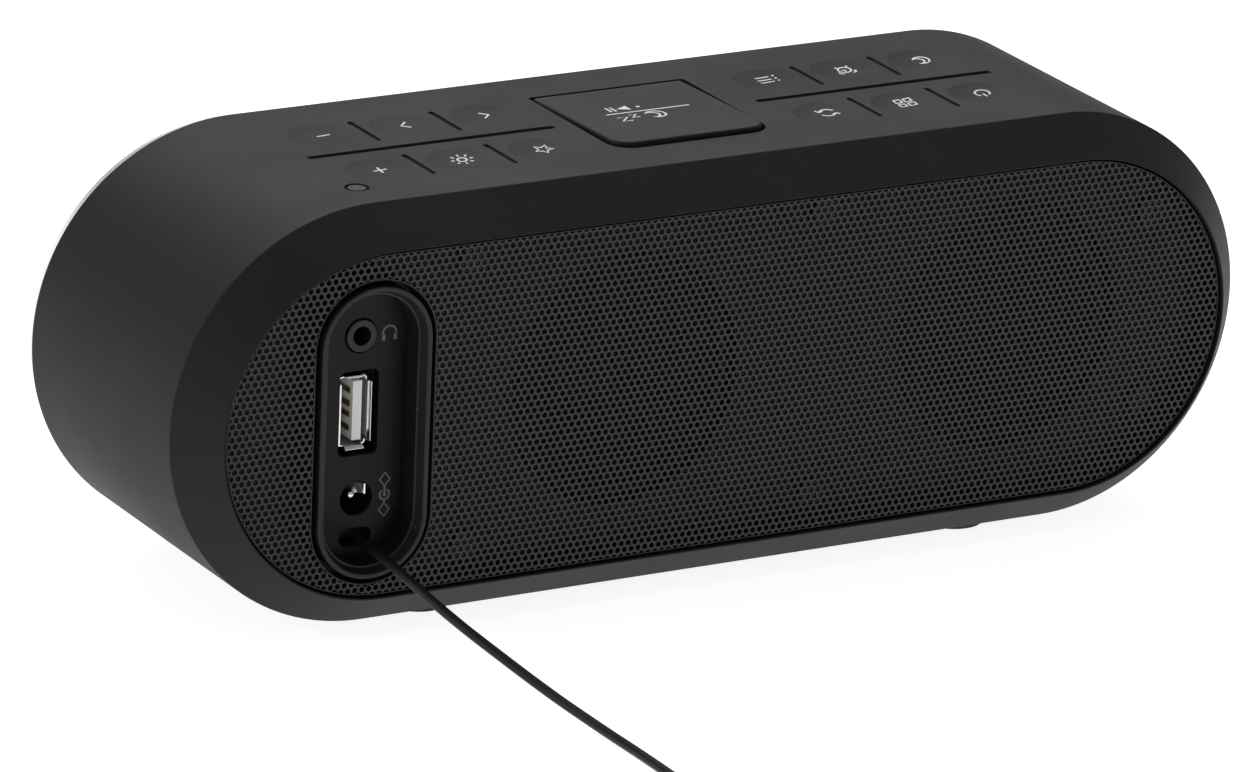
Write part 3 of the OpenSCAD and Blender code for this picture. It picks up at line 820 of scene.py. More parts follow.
def groove_plans():
    """One long groove through each group of six keys and short ones across, with half widths."""
    plans = []
    for first, last in (("plus", "preset"), ("scan", "power")):
        x, half = (KEY_AT[first].x + KEY_AT[last].x) / 2, LONG_GROOVE
        plans.append((slot_plan(x - 25 * MM, x + 25 * MM, DECK_MID - half, DECK_MID + half), half))
        for k in (-0.5, 0.5):
            for row in (-1, 1):
                gx, gy, half = x + k * PITCH, DECK_MID + row * 10.5 * MM, CROSS_GROOVE
                plans.append((slot_plan(gx - half, gx + half, gy - 6 * MM, gy + 6 * MM), half))
    return plans


sensor_lo, sensor_hi = (Vector(corner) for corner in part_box("sensor_ring"))
sensor_at = ((sensor_lo + sensor_hi) / 2).to_2d()
SNOOZE_GAP = 0.6 * MM
snooze_hole = box_plan(
    snooze_lo.x - SNOOZE_GAP, snooze_hi.x + SNOOZE_GAP,
    snooze_lo.y - 0.3 * MM, snooze_hi.y + SNOOZE_GAP, [0.6 * MM, 4.6 * MM, 4.6 * MM, 0.6 * MM],
)
key_holes = [circle_plan(*KEY_AT[key], KEY_RIM) for key in KEY_NAMES]
sensor_hole = circle_plan(*sensor_at, 2.2 * MM, 32)
print("keys at", {k: tuple(round(c / MM, 1) for c in v) for k, v in KEY_AT.items()})


# %% Sleeve mesh
def deck_height(x, radius):
    beyond = max(0.0, abs(x) - HALF_L)
    return ZC + math.sqrt(radius * radius - beyond * beyond)


def deck_normal(x, radius):
    beyond = max(0.0, abs(x) - HALF_L) * (1 if x > 0 else -1)
    return Vector((beyond, 0, math.sqrt(radius * radius - beyond * beyond))) / radius


def make_sleeve():
    build = Builder()
    inner = R - SKIN
    outline = rounded([
        (inner, Y_SLEEVE, 0.15 * MM), (R, Y_SLEEVE, 0.45 * MM), (R, Y_RIM, 0.55 * MM),
        (CREST_R, Y_BACK, 0.25 * MM), (WINDOW_R, Y_BACK, 0.12 * MM),
        (WINDOW_R, Y_BACK - 2.3 * MM, 0.2 * MM), (inner, Y_RIM - 1.2 * MM, 0.2 * MM),
    ])
    arc_steps = 72
    path = pill_path(HALF_L, (0, ZC), arc_steps)
    over = 2
    top_cells = set(range(arc_steps - over, arc_steps + 1 + over))
    straight = {}
    for j, (u, v, nu, nv) in enumerate(outline):
        w, z = outline[(j + 1) % len(outline)][:2]
        if abs(u - w) < tiny and abs(v - z) > 20 * MM:
            straight[j] = u
    sweep(build, outline, path, skip=lambda i, j: i in top_cells and j in straight)
    wells = {}
    for j, radius in straight.items():
        outer = radius > inner + tiny
        y0, y1 = sorted((outline[j][1], outline[(j + 1) % len(outline)][1]))
        xs = []
        for i in range(arc_steps - over, arc_steps + 2 + over):
            middle, out = path[i]
            xs.append((middle + out * radius).x)
        border = [Vector((x, y0)) for x in xs] + [Vector((x, y1)) for x in reversed(xs)]
        clear = 3.4 * MM
        lines = []
        for x in xs[1:-1]:
            if x > 0:
                lines += [(Vector((x, y0)), Vector((x, sensor_at.y - clear))),
                          (Vector((x, sensor_at.y + clear)), Vector((x, y1)))]
            else:
                lines.append((Vector((x, y0)), Vector((x, y1))))
        sign = 1 if outer else -1
        place = lambda p, depth=0, r=radius: Vector((p.x, p.y, deck_height(p.x, r) + depth))
        normal = lambda p, r=radius, s=sign: s * deck_normal(p.x, r)
        through = [(plan, 0) for plan in key_holes] + [(snooze_hole, EDGE), (sensor_hole, EDGE)]
        grooves = groove_plans() if outer else []
        rings = [[p + n * (edge if outer else 0) for p, n in plan] for plan, edge in through]
        rings += [[p + n * EDGE for p, n in plan] for plan, half in grooves]
        fill(build, border, rings, place, normal, lines)
        inward = lambda n: Vector((-n.x, -n.y, 0))
        for plan, edge in through:
            if outer:
                profile = edge_profile(edge) if edge else [(0, 0, 90)]
                wells[id(plan)] = well(build, plan, profile, place, inward, normal)
            else:
                low = [place(p) for p, n in plan]
                normals = [inward(n) for p, n in plan]
                build.loft(wells[id(plan)][0], low, normals, normals)
        for plan, half in grooves:
            bottom = [
                (-half * (1 - math.cos(a)), -EDGE - (GROOVE_DEPTH - EDGE) * math.sin(a),
                 90 - math.degrees(a))
                for a in (math.pi / 2 * k / 4 for k in range(1, 5))
            ]
            well(build, plan, edge_profile(EDGE) + bottom, place, inward, normal)
    return build.piece("soft_sleeve", M["soft_rubber"])


sleeve = make_sleeve()
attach(sleeve, "cabinet")
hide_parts("outer_sleeve")
print("sleeve faces:", len(sleeve.data.polygons))

# %% [markdown]
# ## Dished keys
# Each key is a shallow dish in the same rubber as the deck, with no gap round it: a thin membrane
# that gives when it is pressed, over a stem that reaches the contact on the board below. One
# outline is turned about the key's middle.

# %% Key membranes
DISH_R = 6.1 * MM
DISH_BLEND = 2.0 * MM


def dish_height(r):
    """Height of the dish's surface below the deck at distance r from its middle."""
    lip = (KEY_RIM - DISH_R) ** 2 / (2 * DISH_BLEND)
    if r >= DISH_R:
        return -max(0, KEY_RIM - r) ** 2 / (2 * DISH_BLEND)
    ball = DISH_R * DISH_BLEND / (KEY_RIM - DISH_R)
    return -lip - (DISH_R**2 - r * r) / (2 * ball)


def dish_slope(r):
    if r >= DISH_R:
        return max(0, KEY_RIM - r) / DISH_BLEND
    return r * (KEY_RIM - DISH_R) / (DISH_R * DISH_BLEND)


def turned_rings(build, middle, profile, count):
    """Rings about an upright axis; profile holds (radius, z, normal out, normal up)."""
    before = None
    for radius, z, n_out, n_up in profile:
        ring, normals = [], []
        for k in range(count):
            c, s = math.cos(math.tau * k / count), math.sin(math.tau * k / count)
            ring.append(Vector((middle.x + radius * c, middle.y + radius * s, z)))
            normals.append(Vector((n_out * c, n_out * s, n_up)))
        if before:
            build.loft(before[0], ring, before[1], normals)
        before = (ring, normals)


def make_key(key):
    build = Builder()
    middle = KEY_AT[key]
    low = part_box(f"key_{key}")[0][2]
    top = []
    for r in (0, 1, 2, 3, 4, 5, 5.6, 6.1, 6.2, 6.3, 6.4, 6.5, 6.6):
        slope = dish_slope(r * MM)
        top.append((r * MM, DECK + dish_height(r * MM), -slope, 1))
    under = [(6.6, 0, 0.6, -1), (6.2, -0.5, 0.6, -1), (5.6, -1.2, 0.3, -1), (2.6, -1.5, 0, -1)]
    below = [(r * MM, DECK + z * MM, a, b) for r, z, a, b in under]
    stem = 2.2 * MM
    below += [
        (stem, DECK - 1.5 * MM, 0, -1), (stem, DECK - 1.5 * MM, 1, 0), (stem, low + 0.3 * MM, 1, 0),
        (stem - 0.3 * MM, low, 0, -1), (0, low, 0, -1),
    ]
    turned_rings(build, middle, top, 48)
    turned_rings(build, middle, below, 48)
    return build.piece(f"membrane_{key}", M["soft_rubber"])


def blend_with_key(piece):
    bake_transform(piece)


for key in KEY_NAMES:
    membrane = make_key(key)
    blend_with_key(membrane)
    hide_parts(f"key_{key}")
print(f"{len(KEY_NAMES)} dishes, {-dish_height(0) / MM:.2f} mm deep")

# %% [markdown]
# ## Printed symbols
# The keys are marked with small white symbols that read from the front of the radio. Words on the
# real keys are swapped for plain pictograms. A symbol is a set of strokes: each stroke is a thin
# closed ribbon that follows the dish below it, so the print lies on the rubber.


# %% Strokes on a surface
def ribbon(build, points, width, drape, closed=False):
    """A flat stroke along plan points, laid on the surface that drape(x, y, lift) gives."""
    count = len(points)
    sides = []
    for i, p in enumerate(points):
        a = points[i - 1] if (i or closed) else p
        b = points[(i + 1) % count] if (i + 1 < count or closed) else p
        along = (b - a).normalized()
        across = Vector((-along.y, along.x)) * width / 2
        sides.append((p - across, p + across))
    up = drape(points[0], 1) - drape(points[0], 0)
    steps = range(count if closed else count - 1)
    for i in steps:
        (a, b), (c, d) = sides[i], sides[(i + 1) % count]
        for lift, sign in ((PRINT_UP, 1), (-PRINT_DOWN, -1)):
            build.face([drape(q, lift) for q in (a, c, d, b)], [up * sign] * 4)
        for p, q in ((a, c), (b, d)):
            out = drape(p, 0) - drape(p + (b - a) * (1 if p is a else -1), 0)
            wall = [drape(p, PRINT_UP), drape(q, PRINT_UP), drape(q, -PRINT_DOWN), drape(p, -PRINT_DOWN)]
            build.face(wall, [out] * 4)
    if not closed:
        for i, j in ((0, 1), (count - 1, count - 2)):
            a, b = sides[i]
            out = drape(points[i], 0) - drape(points[j], 0)
            wall = [drape(a, PRINT_UP), drape(b, PRINT_UP), drape(b, -PRINT_DOWN), drape(a, -PRINT_DOWN)]
            build.face(wall, [out] * 4)


def blot(build, points, drape):
    """A filled convex shape."""
    middle = sum(points, Vector((0, 0))) / len(points)
    up = drape(middle, 1) - drape(middle, 0)
    for p, q in zip(points, points[1:] + points[:1]):
        for lift, sign in ((PRINT_UP, 1), (-PRINT_DOWN, -1)):
            build.face([drape(r, lift) for r in (middle, p, q)], [up * sign] * 3)
        wall = [drape(p, PRINT_UP), drape(q, PRINT_UP), drape(q, -PRINT_DOWN), drape(p, -PRINT_DOWN)]
        out = drape((p + q) / 2, 0) - drape(middle, 0)
        build.face(wall, [out] * 4)


PRINT_UP, PRINT_DOWN = 0.025 * MM, 0.04 * MM


def line(*points, step=0.4):
    """Plan points along straight legs, close enough together to follow a dish."""
    out = []
    for (ax, ay), (bx, by) in zip(points, points[1:]):
        a, b = Vector((ax, ay)), Vector((bx, by))
        parts = max(1, round((b - a).length / step))
        out += [a.lerp(b, k / parts) for k in range(parts)]
    return out + [Vector(points[-1])]


def arc(x, y, radius, start, end, parts=20):
    angles = (math.radians(start + (end - start) * k / parts) for k in range(parts + 1))
    return [Vector((x + radius * math.cos(a), y + radius * math.sin(a))) for a in angles]


def dot(x, y, radius):
    return arc(x, y, radius, 0, 330, 11)


def star(x, y, radius):
    spikes = (arc(x, y, radius if k % 2 == 0 else radius * 0.45, 90 + 36 * k, 90 + 36 * k, 1)[0]
              for k in range(10))
    return list(spikes)


def crescent(x, y, radius):
    outer = arc(x, y, radius, 50, 330, 22)
    inner = arc(x + radius * 0.45, y + radius * 0.1, radius * 0.78, 300, 80, 18)
    return outer + inner[1:-1]


# Each symbol: open strokes, closed strokes, filled shapes; millimetres about the key's middle.
SYMBOLS = {
    "plus": ([line((-1.3, 0), (1.3, 0)), line((0, -1.3), (0, 1.3))], [], []),
    "minus": ([line((-1.3, 0), (1.3, 0))], [], []),
    "back": ([line((0.7, 1.3), (-0.7, 0), (0.7, -1.3))], [], []),
    "forward": ([line((-0.7, 1.3), (0.7, 0), (-0.7, -1.3))], [], []),
    "dimmer": (
        [line((1.5 * math.cos(a), 1.5 * math.sin(a)), (2.2 * math.cos(a), 2.2 * math.sin(a)))
         for a in (math.tau * k / 8 for k in range(8))],
        [arc(0, 0, 0.85, 0, 345, 23)], [],
    ),
    "preset": ([], [star(0, 0, 1.9)], []),
    "scan": (
        [arc(0, 0, 1.5, 20, 150, 14), arc(0, 0, 1.5, 200, 330, 14),
         line((-1.9, 1.5), (-1.35, 0.65), (-0.5, 1.1)), line((1.9, -1.5), (1.35, -0.65), (0.5, -1.1))],
        [], [],
    ),
    "mode": (
        [], [line((x - 0.65, y - 0.65), (x + 0.65, y - 0.65), (x + 0.65, y + 0.65), (x - 0.65, y + 0.65),
                  (x - 0.65, y - 0.65), step=0.7)[:-1] for x in (-1, 1) for y in (-1, 1)], [],
    ),
    "power": ([arc(0, 0, 1.4, 125, 415, 26), line((0, 0.3), (0, 1.8))], [], []),
    "info": (
        [line((-0.9, y), (2.0, y)) for y in (1.2, 0, -1.2)], [],
        [dot(-1.8, y, 0.25) for y in (1.2, 0, -1.2)],
    ),
    "alarm": (
        [line((0, 0.8), (0, 0), (0.6, 0)),
         arc(-1.15, 1.25, 0.55, 60, 230, 8), arc(1.15, 1.25, 0.55, -50, 120, 8),
         line((-0.9, -1.0), (-1.3, -1.6)), line((0.9, -1.0), (1.3, -1.6))],
        [arc(0, 0, 1.25, 0, 345, 23)], [],
    ),
    "sleep": ([], [crescent(0, 0, 1.6)], []),
}


def print_symbol(name, symbol, drape, width, material):
    build = Builder()
    strokes, loops, shapes = symbol
    for stroke in strokes:
        ribbon(build, [p * MM for p in stroke], width, drape)
    for loop in loops:
        ribbon(build, [p * MM for p in loop], width, drape, closed=True)
    for shape in shapes:
        blot(build, [p * MM for p in shape], drape)
    return build.piece(name, material)


# The print sits a little to the -X and display side of each dish's middle.
PRINT_SHIFT = Vector((-1.2, -1.8)) * MM
KEY_STROKE = 0.36 * MM
for key in KEY_NAMES:
    middle = KEY_AT[key]

    def on_dish(p, lift, middle=middle):
        q = p + PRINT_SHIFT
        return Vector((middle.x + q.x, middle.y + q.y, DECK + dish_height(q.length) + lift))

    symbol = print_symbol(f"symbol_{key}", SYMBOLS[key], on_dish, KEY_STROKE, M["white_plastic"])
    blend_with_key(symbol)
print("symbols:", ", ".join(SYMBOLS))

# %% [markdown]
# ## Snooze plate
# The big plate in the middle of the deck bends down along its front edge, and its rear edge stands
# a little above the deck so that a sleepy hand finds it. It is lofted from rounded outlines: a
# wall, a soft edge that follows the slope, and a flat top, with a post below for the switch.


# %% Snooze plate mesh
def plate_top(y):
    rise = (y - snooze_lo.y) / (snooze_hi.y - snooze_lo.y)
    return DECK + (snooze_hi.z - DECK) * min(1, max(0, rise))


def make_snooze():
    build = Builder()
    edge = 0.7 * MM
    base = DECK - SKIN + 0.1 * MM
    plan = box_plan(
        snooze_lo.x, snooze_hi.x, snooze_lo.y, snooze_hi.y, [0.75 * MM, 4 * MM, 4 * MM, 0.75 * MM]
    )
    slope = Vector((0, -(snooze_hi.z - DECK) / (snooze_hi.y - snooze_lo.y), 1)).normalized()
    out = [Vector((n.x, n.y, 0)) for p, n in plan]
    ring = [Vector((p.x, p.y, base)) for p, n in plan]
    build.cap(ring, Vector((0, 0, -1)))
    before, flat = ring, out
    for k in range(6):
        a = math.pi / 2 * k / 5
        inset = edge * (1 - math.cos(a))
        level = []
        for p, n in plan:
            q = p - n * inset
            level.append(Vector((q.x, q.y, plate_top(q.y) - edge * (1 - math.sin(a)))))
        tilt = [o * math.cos(a) + slope * math.sin(a) for o in out]
        build.loft(before, level, flat, tilt)
        before, flat = level, tilt
    build.cap(before, slope)
    post_at = Vector((0, DECK_MID + 6.5 * MM))
    post = [(2.5 * MM, base, 1, 0), (2.5 * MM, snooze_lo.z + 0.4 * MM, 1, 0),
            (2 * MM, snooze_lo.z, 0, -1), (0, snooze_lo.z, 0, -1)]
    turned_rings(build, post_at, [(0, base, 0, 1), (2.5 * MM, base, 0, 1)] + post, 32)
    return build.piece("snooze_plate", M["snooze_rubber"])


snooze = make_snooze()
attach(snooze, "snooze_bar")
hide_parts("snooze_bar")


def on_plate(p, lift):
    y = DECK_MID - 1.5 * MM + p.y
    return Vector((p.x, y, plate_top(y) + lift))


SNOOZE_SYMBOL = (
    [line((-8.6, 0), (8.6, 0), step=4)]
    + [line((x, -4), (x, -1.4), step=3) for x in (5.7, 6.7)]
    + [line((x, y + h), (x + w, y + h), (x, y), (x + w, y), step=3)
       for x, y, w, h in ((3.4, 1.6, 1.5, 1.7), (5.7, 2.6, 2.1, 2.3))],
    [crescent(0, 2.9, 1.9)],
    [dot(0.6, -2.7, 0.4), [Vector(p) for p in ((2.6, -4), (5, -2.7), (2.6, -1.4))]],
)
legend = print_symbol("symbol_snooze", SNOOZE_SYMBOL, on_plate, 0.42 * MM, M["white_plastic"])
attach(legend, "snooze_bar")
print("snooze plate lifts", round((snooze_hi.z - DECK) / MM, 2), "mm at its rear edge")

# %% [markdown]
# ## Perforated grille
# The back is one sheet of steel punched with some six thousand holes in a honeycomb, dropped into
# the rim and folded over at its edges. One six-sided tile with a chamfered round hole is the unit.
# Geometry Nodes put a tile on every point of the honeycomb, weld them, pull whatever sticks out
# back onto the sheet's outline, so that holes at the edge are cut as by the tool that trims the
# sheet, and close the cut edge. The sheet is made in four lengths to keep each mesh light.

# %% Grille tile
HOLE_PITCH = 1.4 * MM
HOLE_R = 0.48 * MM
CHAMFER = 0.07 * MM
SHEET = 0.5 * MM


def grille_tile():
    """One cell of the honeycomb round its hole, top at z = 0."""
    verts, faces = [], []

    def ring(radius, z, count, start=0):
        first = len(verts)
        for k in range(count):
            a = math.radians(start + 360 * k / count)
            verts.append((radius * math.cos(a), radius * math.sin(a), z))
        return list(range(first, first + count))

    def frame_face(corners, hole, flip):
        for k in range(6):
            here, after = corners[k], corners[(k + 1) % 6]
            a, b, c = hole[2 * k], hole[2 * k + 1], hole[(2 * k + 2) % 12]
            for face in ((a, here, b), (b, here, c), (c, here, after)):
                faces.append(face[::-1] if flip else face)

    def band(upper, lower):
        for k in range(12):
            j = (k + 1) % 12
            faces.append((upper[k], upper[j], lower[j], lower[k]))

    side = HOLE_PITCH / math.sqrt(3)
    top = ring(side, 0, 6, 30)
    mouth = ring(HOLE_R + CHAMFER, 0, 12)
    throat = ring(HOLE_R, -CHAMFER, 12)
    exit_hole = ring(HOLE_R, -SHEET, 12)
    bottom = ring(side, -SHEET, 6, 30)
    frame_face(top, mouth, False)
    band(mouth, throat)
    band(throat, exit_hole)
    frame_face(bottom, exit_hole, True)
    mesh = bpy.data.meshes.new("grille_tile")
    mesh.from_pydata(verts, [], faces)
    return bpy.data.objects.new("grille_tile", mesh)


tile = grille_tile()
print("tile faces:", len(tile.data.polygons))


# %% Geometry Nodes helpers
class Tree:
    """A geometry node tree with named inputs and short calls for its nodes."""

    def __init__(self, name):
        self.group = bpy.data.node_groups.new(name, "GeometryNodeTree")
        self.group.interface.new_socket("Geometry", in_out="OUTPUT", socket_type="NodeSocketGeometry")
        self.entry = self.group.nodes.new("NodeGroupInput")
        self.leave = self.group.nodes.new("NodeGroupOutput")

    def input(self, name, kind="NodeSocketFloat"):
        self.group.interface.new_socket(name, in_out="INPUT", socket_type=kind)
        return self.entry.outputs[name]

    def node(self, kind, settings=(), **values):
        node = self.group.nodes.new(kind)
        for key, value in dict(settings).items():
            setattr(node, key, value)
        for name, value in values.items():
            self.set(node.inputs[name.replace("_", " ")], value)
        return node

    def set(self, socket, value):
        if isinstance(value, bpy.types.NodeSocket):
            self.group.links.new(value, socket)
        else:
            socket.default_value = value

    def math(self, operation, *values):
        node = self.group.nodes.new("ShaderNodeMath")
        node.operation = operation
        for socket, value in zip(node.inputs, values):
            self.set(socket, value)
        return node.outputs[0]

    def split(self):
        place = self.node("GeometryNodeInputPosition").outputs[0]
        parts = self.node("ShaderNodeSeparateXYZ", Vector=place)
        return parts.outputs

    def join_xyz(self, x, y, z):
        return self.node("ShaderNodeCombineXYZ", X=x, Y=y, Z=z).outputs[0]


def apply_tree(name, tree, values, material):
    """Run the tree on an empty mesh and keep the result as a plain mesh object."""
    host = mesh_piece(name + "_host", [], [], material)
    modifier = host.modifiers.new("tree", "NODES")
    modifier.node_group = tree.group
    for item in tree.group.interface.items_tree:
        if item.item_type == "SOCKET" and item.in_out == "INPUT":
            modifier[item.identifier] = values[item.name]
    evaluated = host.evaluated_get(bpy.context.evaluated_depsgraph_get())
    mesh = bpy.data.meshes.new_from_object(evaluated)
    mesh.name = name
    piece = bpy.data.objects.new(name, mesh)
    bpy.context.scene.collection.objects.link(piece)
    bpy.data.objects.remove(host)
    return piece


# %% Honeycomb tree
def honeycomb_tree(columns, rows):
    t = Tree("perforated_sheet")
    pitch, edge, half = t.input("Pitch"), t.input("Edge radius"), t.input("Half length")
    bay_x, bay_edge, bay_half = t.input("Bay x"), t.input("Bay edge"), t.input("Bay half height")
    bay_drop = t.input("Bay drop")
    start, stop, sheet = t.input("From x"), t.input("To x"), t.input("Thickness")
    level, middle = t.input("Level y"), t.input("Middle z")
    unit, material = t.input("Tile", "NodeSocketObject"), t.input("Finish", "NodeSocketMaterial")
    row_step = t.math("MULTIPLY", pitch, math.sqrt(3) / 2)
    grid = t.node(
        "GeometryNodeMeshGrid", Vertices_X=columns, Vertices_Y=rows,
        Size_X=t.math("MULTIPLY", pitch, columns - 1), Size_Y=t.math("MULTIPLY", row_step, rows - 1),
    )
    x, y, _ = t.split()
    row = t.math("ROUND", t.math("DIVIDE", y, row_step))
    odd = t.math("ABSOLUTE", t.math("MODULO", row, 2))
    shift = t.join_xyz(t.math("MULTIPLY", odd, t.math("MULTIPLY", pitch, 0.5)), 0, 0)
    points = t.node("GeometryNodeSetPosition", Geometry=grid.outputs["Mesh"], Offset=shift)

    def outside(value, reach):
        """How far value lies outside the span from -reach to reach."""
        low = t.math("MULTIPLY", reach, -1)
        return t.math("SUBTRACT", value, t.math("MINIMUM", reach, t.math("MAXIMUM", value, low)))

    def diagonal(a, b):
        squares = t.math("ADD", t.math("MULTIPLY", a, a), t.math("MULTIPLY", b, b))
        return t.math("SQRT", squares)

    def from_pill(x, y):
        beyond = outside(x, half)
        return beyond, diagonal(beyond, y)

    def from_bay(x, y):
        across = t.math("SUBTRACT", x, bay_x)
        along = outside(t.math("SUBTRACT", y, bay_drop), bay_half)
        return across, along, diagonal(across, along)

    x, y, _ = t.split()
    _, reach = from_pill(x, y)
    _, _, clear = from_bay(x, y)
    tests = [
        t.math("GREATER_THAN", reach, t.math("ADD", edge, t.math("MULTIPLY", pitch, 0.1))),
        t.math("LESS_THAN", clear, t.math("SUBTRACT", bay_edge, t.math("MULTIPLY", pitch, 0.1))),
        t.math("LESS_THAN", x, start),
        t.math("GREATER_THAN", x, stop),
    ]
    drop = tests[0]
    for test in tests[1:]:
        drop = t.math("MAXIMUM", drop, test)
    drop = t.math("GREATER_THAN", drop, 0.5)
    kept = t.node(
        "GeometryNodeDeleteGeometry", {"domain": "POINT"}, Geometry=points.outputs[0], Selection=drop
    )
    tile_mesh = t.node("GeometryNodeObjectInfo", Object=unit).outputs["Geometry"]
    tiles = t.node("GeometryNodeInstanceOnPoints", Points=kept.outputs[0], Instance=tile_mesh)
    solid = t.node("GeometryNodeRealizeInstances", Geometry=tiles.outputs[0])
    weld = t.node("GeometryNodeMergeByDistance", Geometry=solid.outputs[0], Distance=0.01 * MM)

    x, y, z = t.split()
    beyond, reach = from_pill(x, y)
    pull = t.math("MINIMUM", 1, t.math("DIVIDE", edge, t.math("MAXIMUM", reach, 1e-6)))
    trimmed = t.join_xyz(
        t.math("ADD", t.math("SUBTRACT", x, beyond), t.math("MULTIPLY", beyond, pull)),
        t.math("MULTIPLY", y, pull), z,
    )
    trim = t.node("GeometryNodeSetPosition", Geometry=weld.outputs[0], Position=trimmed)
    x, y, z = t.split()
    across, along, clear = from_bay(x, y)
    push = t.math("MAXIMUM", 1, t.math("DIVIDE", bay_edge, t.math("MAXIMUM", clear, 1e-6)))
    opened = t.join_xyz(
        t.math("ADD", bay_x, t.math("MULTIPLY", across, push)),
        t.math("ADD", t.math("SUBTRACT", y, along), t.math("MULTIPLY", along, push)), z,
    )
    bay_cut = t.node("GeometryNodeSetPosition", Geometry=trim.outputs[0], Position=opened)

    shared = t.node("GeometryNodeInputMeshEdgeNeighbors").outputs[0]
    _, _, z = t.split()
    open_edge = t.math("LESS_THAN", shared, 1.5)
    upper = t.math("GREATER_THAN", z, t.math("MULTIPLY", sheet, -0.5))
    wall = t.node(
        "GeometryNodeExtrudeMesh", {"mode": "EDGES"}, Mesh=bay_cut.outputs[0],
        Selection=t.math("MULTIPLY", open_edge, upper), Offset=t.join_xyz(0, 0, -1), Offset_Scale=sheet,
    )
    closed = t.node("GeometryNodeMergeByDistance", Geometry=wall.outputs["Mesh"], Distance=0.01 * MM)
    upright = t.node(
        "GeometryNodeTransform", Geometry=closed.outputs[0],
        Translation=t.join_xyz(0, level, middle), Rotation=(-math.pi / 2, 0, 0),
    )
    real = t.node("GeometryNodeRealizeInstances", Geometry=upright.outputs[0])
    done = t.node("GeometryNodeSetMaterial", Geometry=real.outputs[0], Material=material)
    t.group.links.new(done.outputs[0], t.leave.inputs[0])
    return t


# %% Grille sheets
BAY_GAP = 0.9 * MM
columns = 2 * math.ceil((HALF_L + GRILLE_R) / HOLE_PITCH) + 3
rows = 2 * math.ceil(GRILLE_R / (HOLE_PITCH * math.sqrt(3) / 2)) + 3
sheet_tree = honeycomb_tree(columns, rows)
sheet_names = []
cuts = [HOLE_PITCH * (k + 0.25) for k in (-80, -36, -9, 18, 80)]
for number, (start, stop) in enumerate(zip(cuts, cuts[1:]), 1):
    values = {
        "Pitch": HOLE_PITCH, "Edge radius": GRILLE_R - 0.12 * MM, "Half length": HALF_L,
        "Bay x": BAY_X, "Bay edge": BAY_R + BAY_GAP + 0.1 * MM, "Bay half height": BAY_HALF,
        "Bay drop": ZC - BAY_Z,
        "From x": start, "To x": stop, "Thickness": SHEET, "Level y": Y_GRILLE - 0.06 * MM,
        "Middle z": ZC, "Tile": tile, "Finish": M["grille_steel"],
    }
    sheet = apply_tree(f"grille_sheet_{number}", sheet_tree, values, M["grille_steel"])
    tidy = bmesh.new()
    tidy.from_mesh(sheet.data)
    bmesh.ops.dissolve_degenerate(tidy, dist=0.004 * MM, edges=tidy.edges)
    bmesh.ops.recalc_face_normals(tidy, faces=tidy.faces)
    tidy.to_mesh(sheet.data)
    tidy.free()
    sheet.data.shade_flat()
    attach(sheet, "cabinet")
    sheet_names.append(sheet.name)
    print(sheet.name, sum(len(p.vertices) - 2 for p in sheet.data.polygons), "triangles")


# %% Folded edges of the grille
def make_grille_edges():
    build = Builder()
    lip = 0.3 * MM
    y_seat = grille_lo.y
    outer = rounded([
        (GRILLE_R - lip, y_seat, 0), (GRILLE_R, y_seat, 0),
        (GRILLE_R, Y_GRILLE, 0.22 * MM), (GRILLE_R - lip, Y_GRILLE, 0.05 * MM),
    ])
    sweep(build, outer, pill_path(HALF_L, (0, ZC), 72))
    gap_r = BAY_R + BAY_GAP
    inner = rounded([
        (gap_r, y_seat, 0), (gap_r + lip, y_seat, 0), (gap_r + lip, Y_GRILLE, 0.05 * MM),
        (gap_r, Y_GRILLE, 0.22 * MM),
    ])
    sweep(build, inner, upright_path(BAY_HALF, (BAY_X, BAY_Z), 40))
    return build.piece("grille_fold", M["grille_steel"])


fold = make_grille_edges()
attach(fold, "cabinet")
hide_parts("rear_grille")
print("grille:", ", ".join(sheet_names), "and", fold.name)

# %% [markdown]
# ## Connector bay
# The bay is a deep oblong well: a ring that stands a little proud of the grille, a ledge inside
# it, and a floor with the sockets. The ring is one outline carried round an upright pill. Its
# narrow ledge is what draws the thin bright line inside the well.


# %% Bay ring
def make_bay_ring():
    build = Builder()
    bore = floor_hi.x - BAY_X + 0.1 * MM
    step_y = Y_RING - 1.7 * MM
    seat = grille_lo.y
    outline = rounded([
        (bore - 1.1 * MM, ring_lo.y, 0), (BAY_R - 0.5 * MM, ring_lo.y, 0),
        (BAY_R - 0.5 * MM, seat, 0), (BAY_R, seat, 0), (BAY_R, Y_RING, 0.35 * MM),
        (BAY_R - 0.9 * MM, Y_RING, 0.3 * MM), (bore + 0.35 * MM, step_y, 0.05 * MM),
        (bore, step_y, 0.12 * MM), (bore, Y_FLOOR - 2 * MM, 0), (bore - 1.1 * MM, Y_FLOOR - 2 * MM, 0),
    ])
    sweep(build, outline, upright_path(BAY_HALF, (BAY_X, BAY_Z), 48))
    return build.piece("bay_surround", M["bay_plastic"])


surround = make_bay_ring()
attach(surround, "cabinet")
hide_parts("bay_ring")
print("bay ring stands", round((Y_RING - Y_GRILLE) / MM, 2), "mm proud of the grille")


# %% Bay floor with its openings
def middle_of(node):
    lo, hi = (Vector(corner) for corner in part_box(node))
    return (lo + hi) / 2


PHONE_Z = middle_of("headphone_socket").z
USB = middle_of("usb_shell")
POWER_Z = middle_of("power_pin").z
SLOT_Z = EXIT[2] * MM


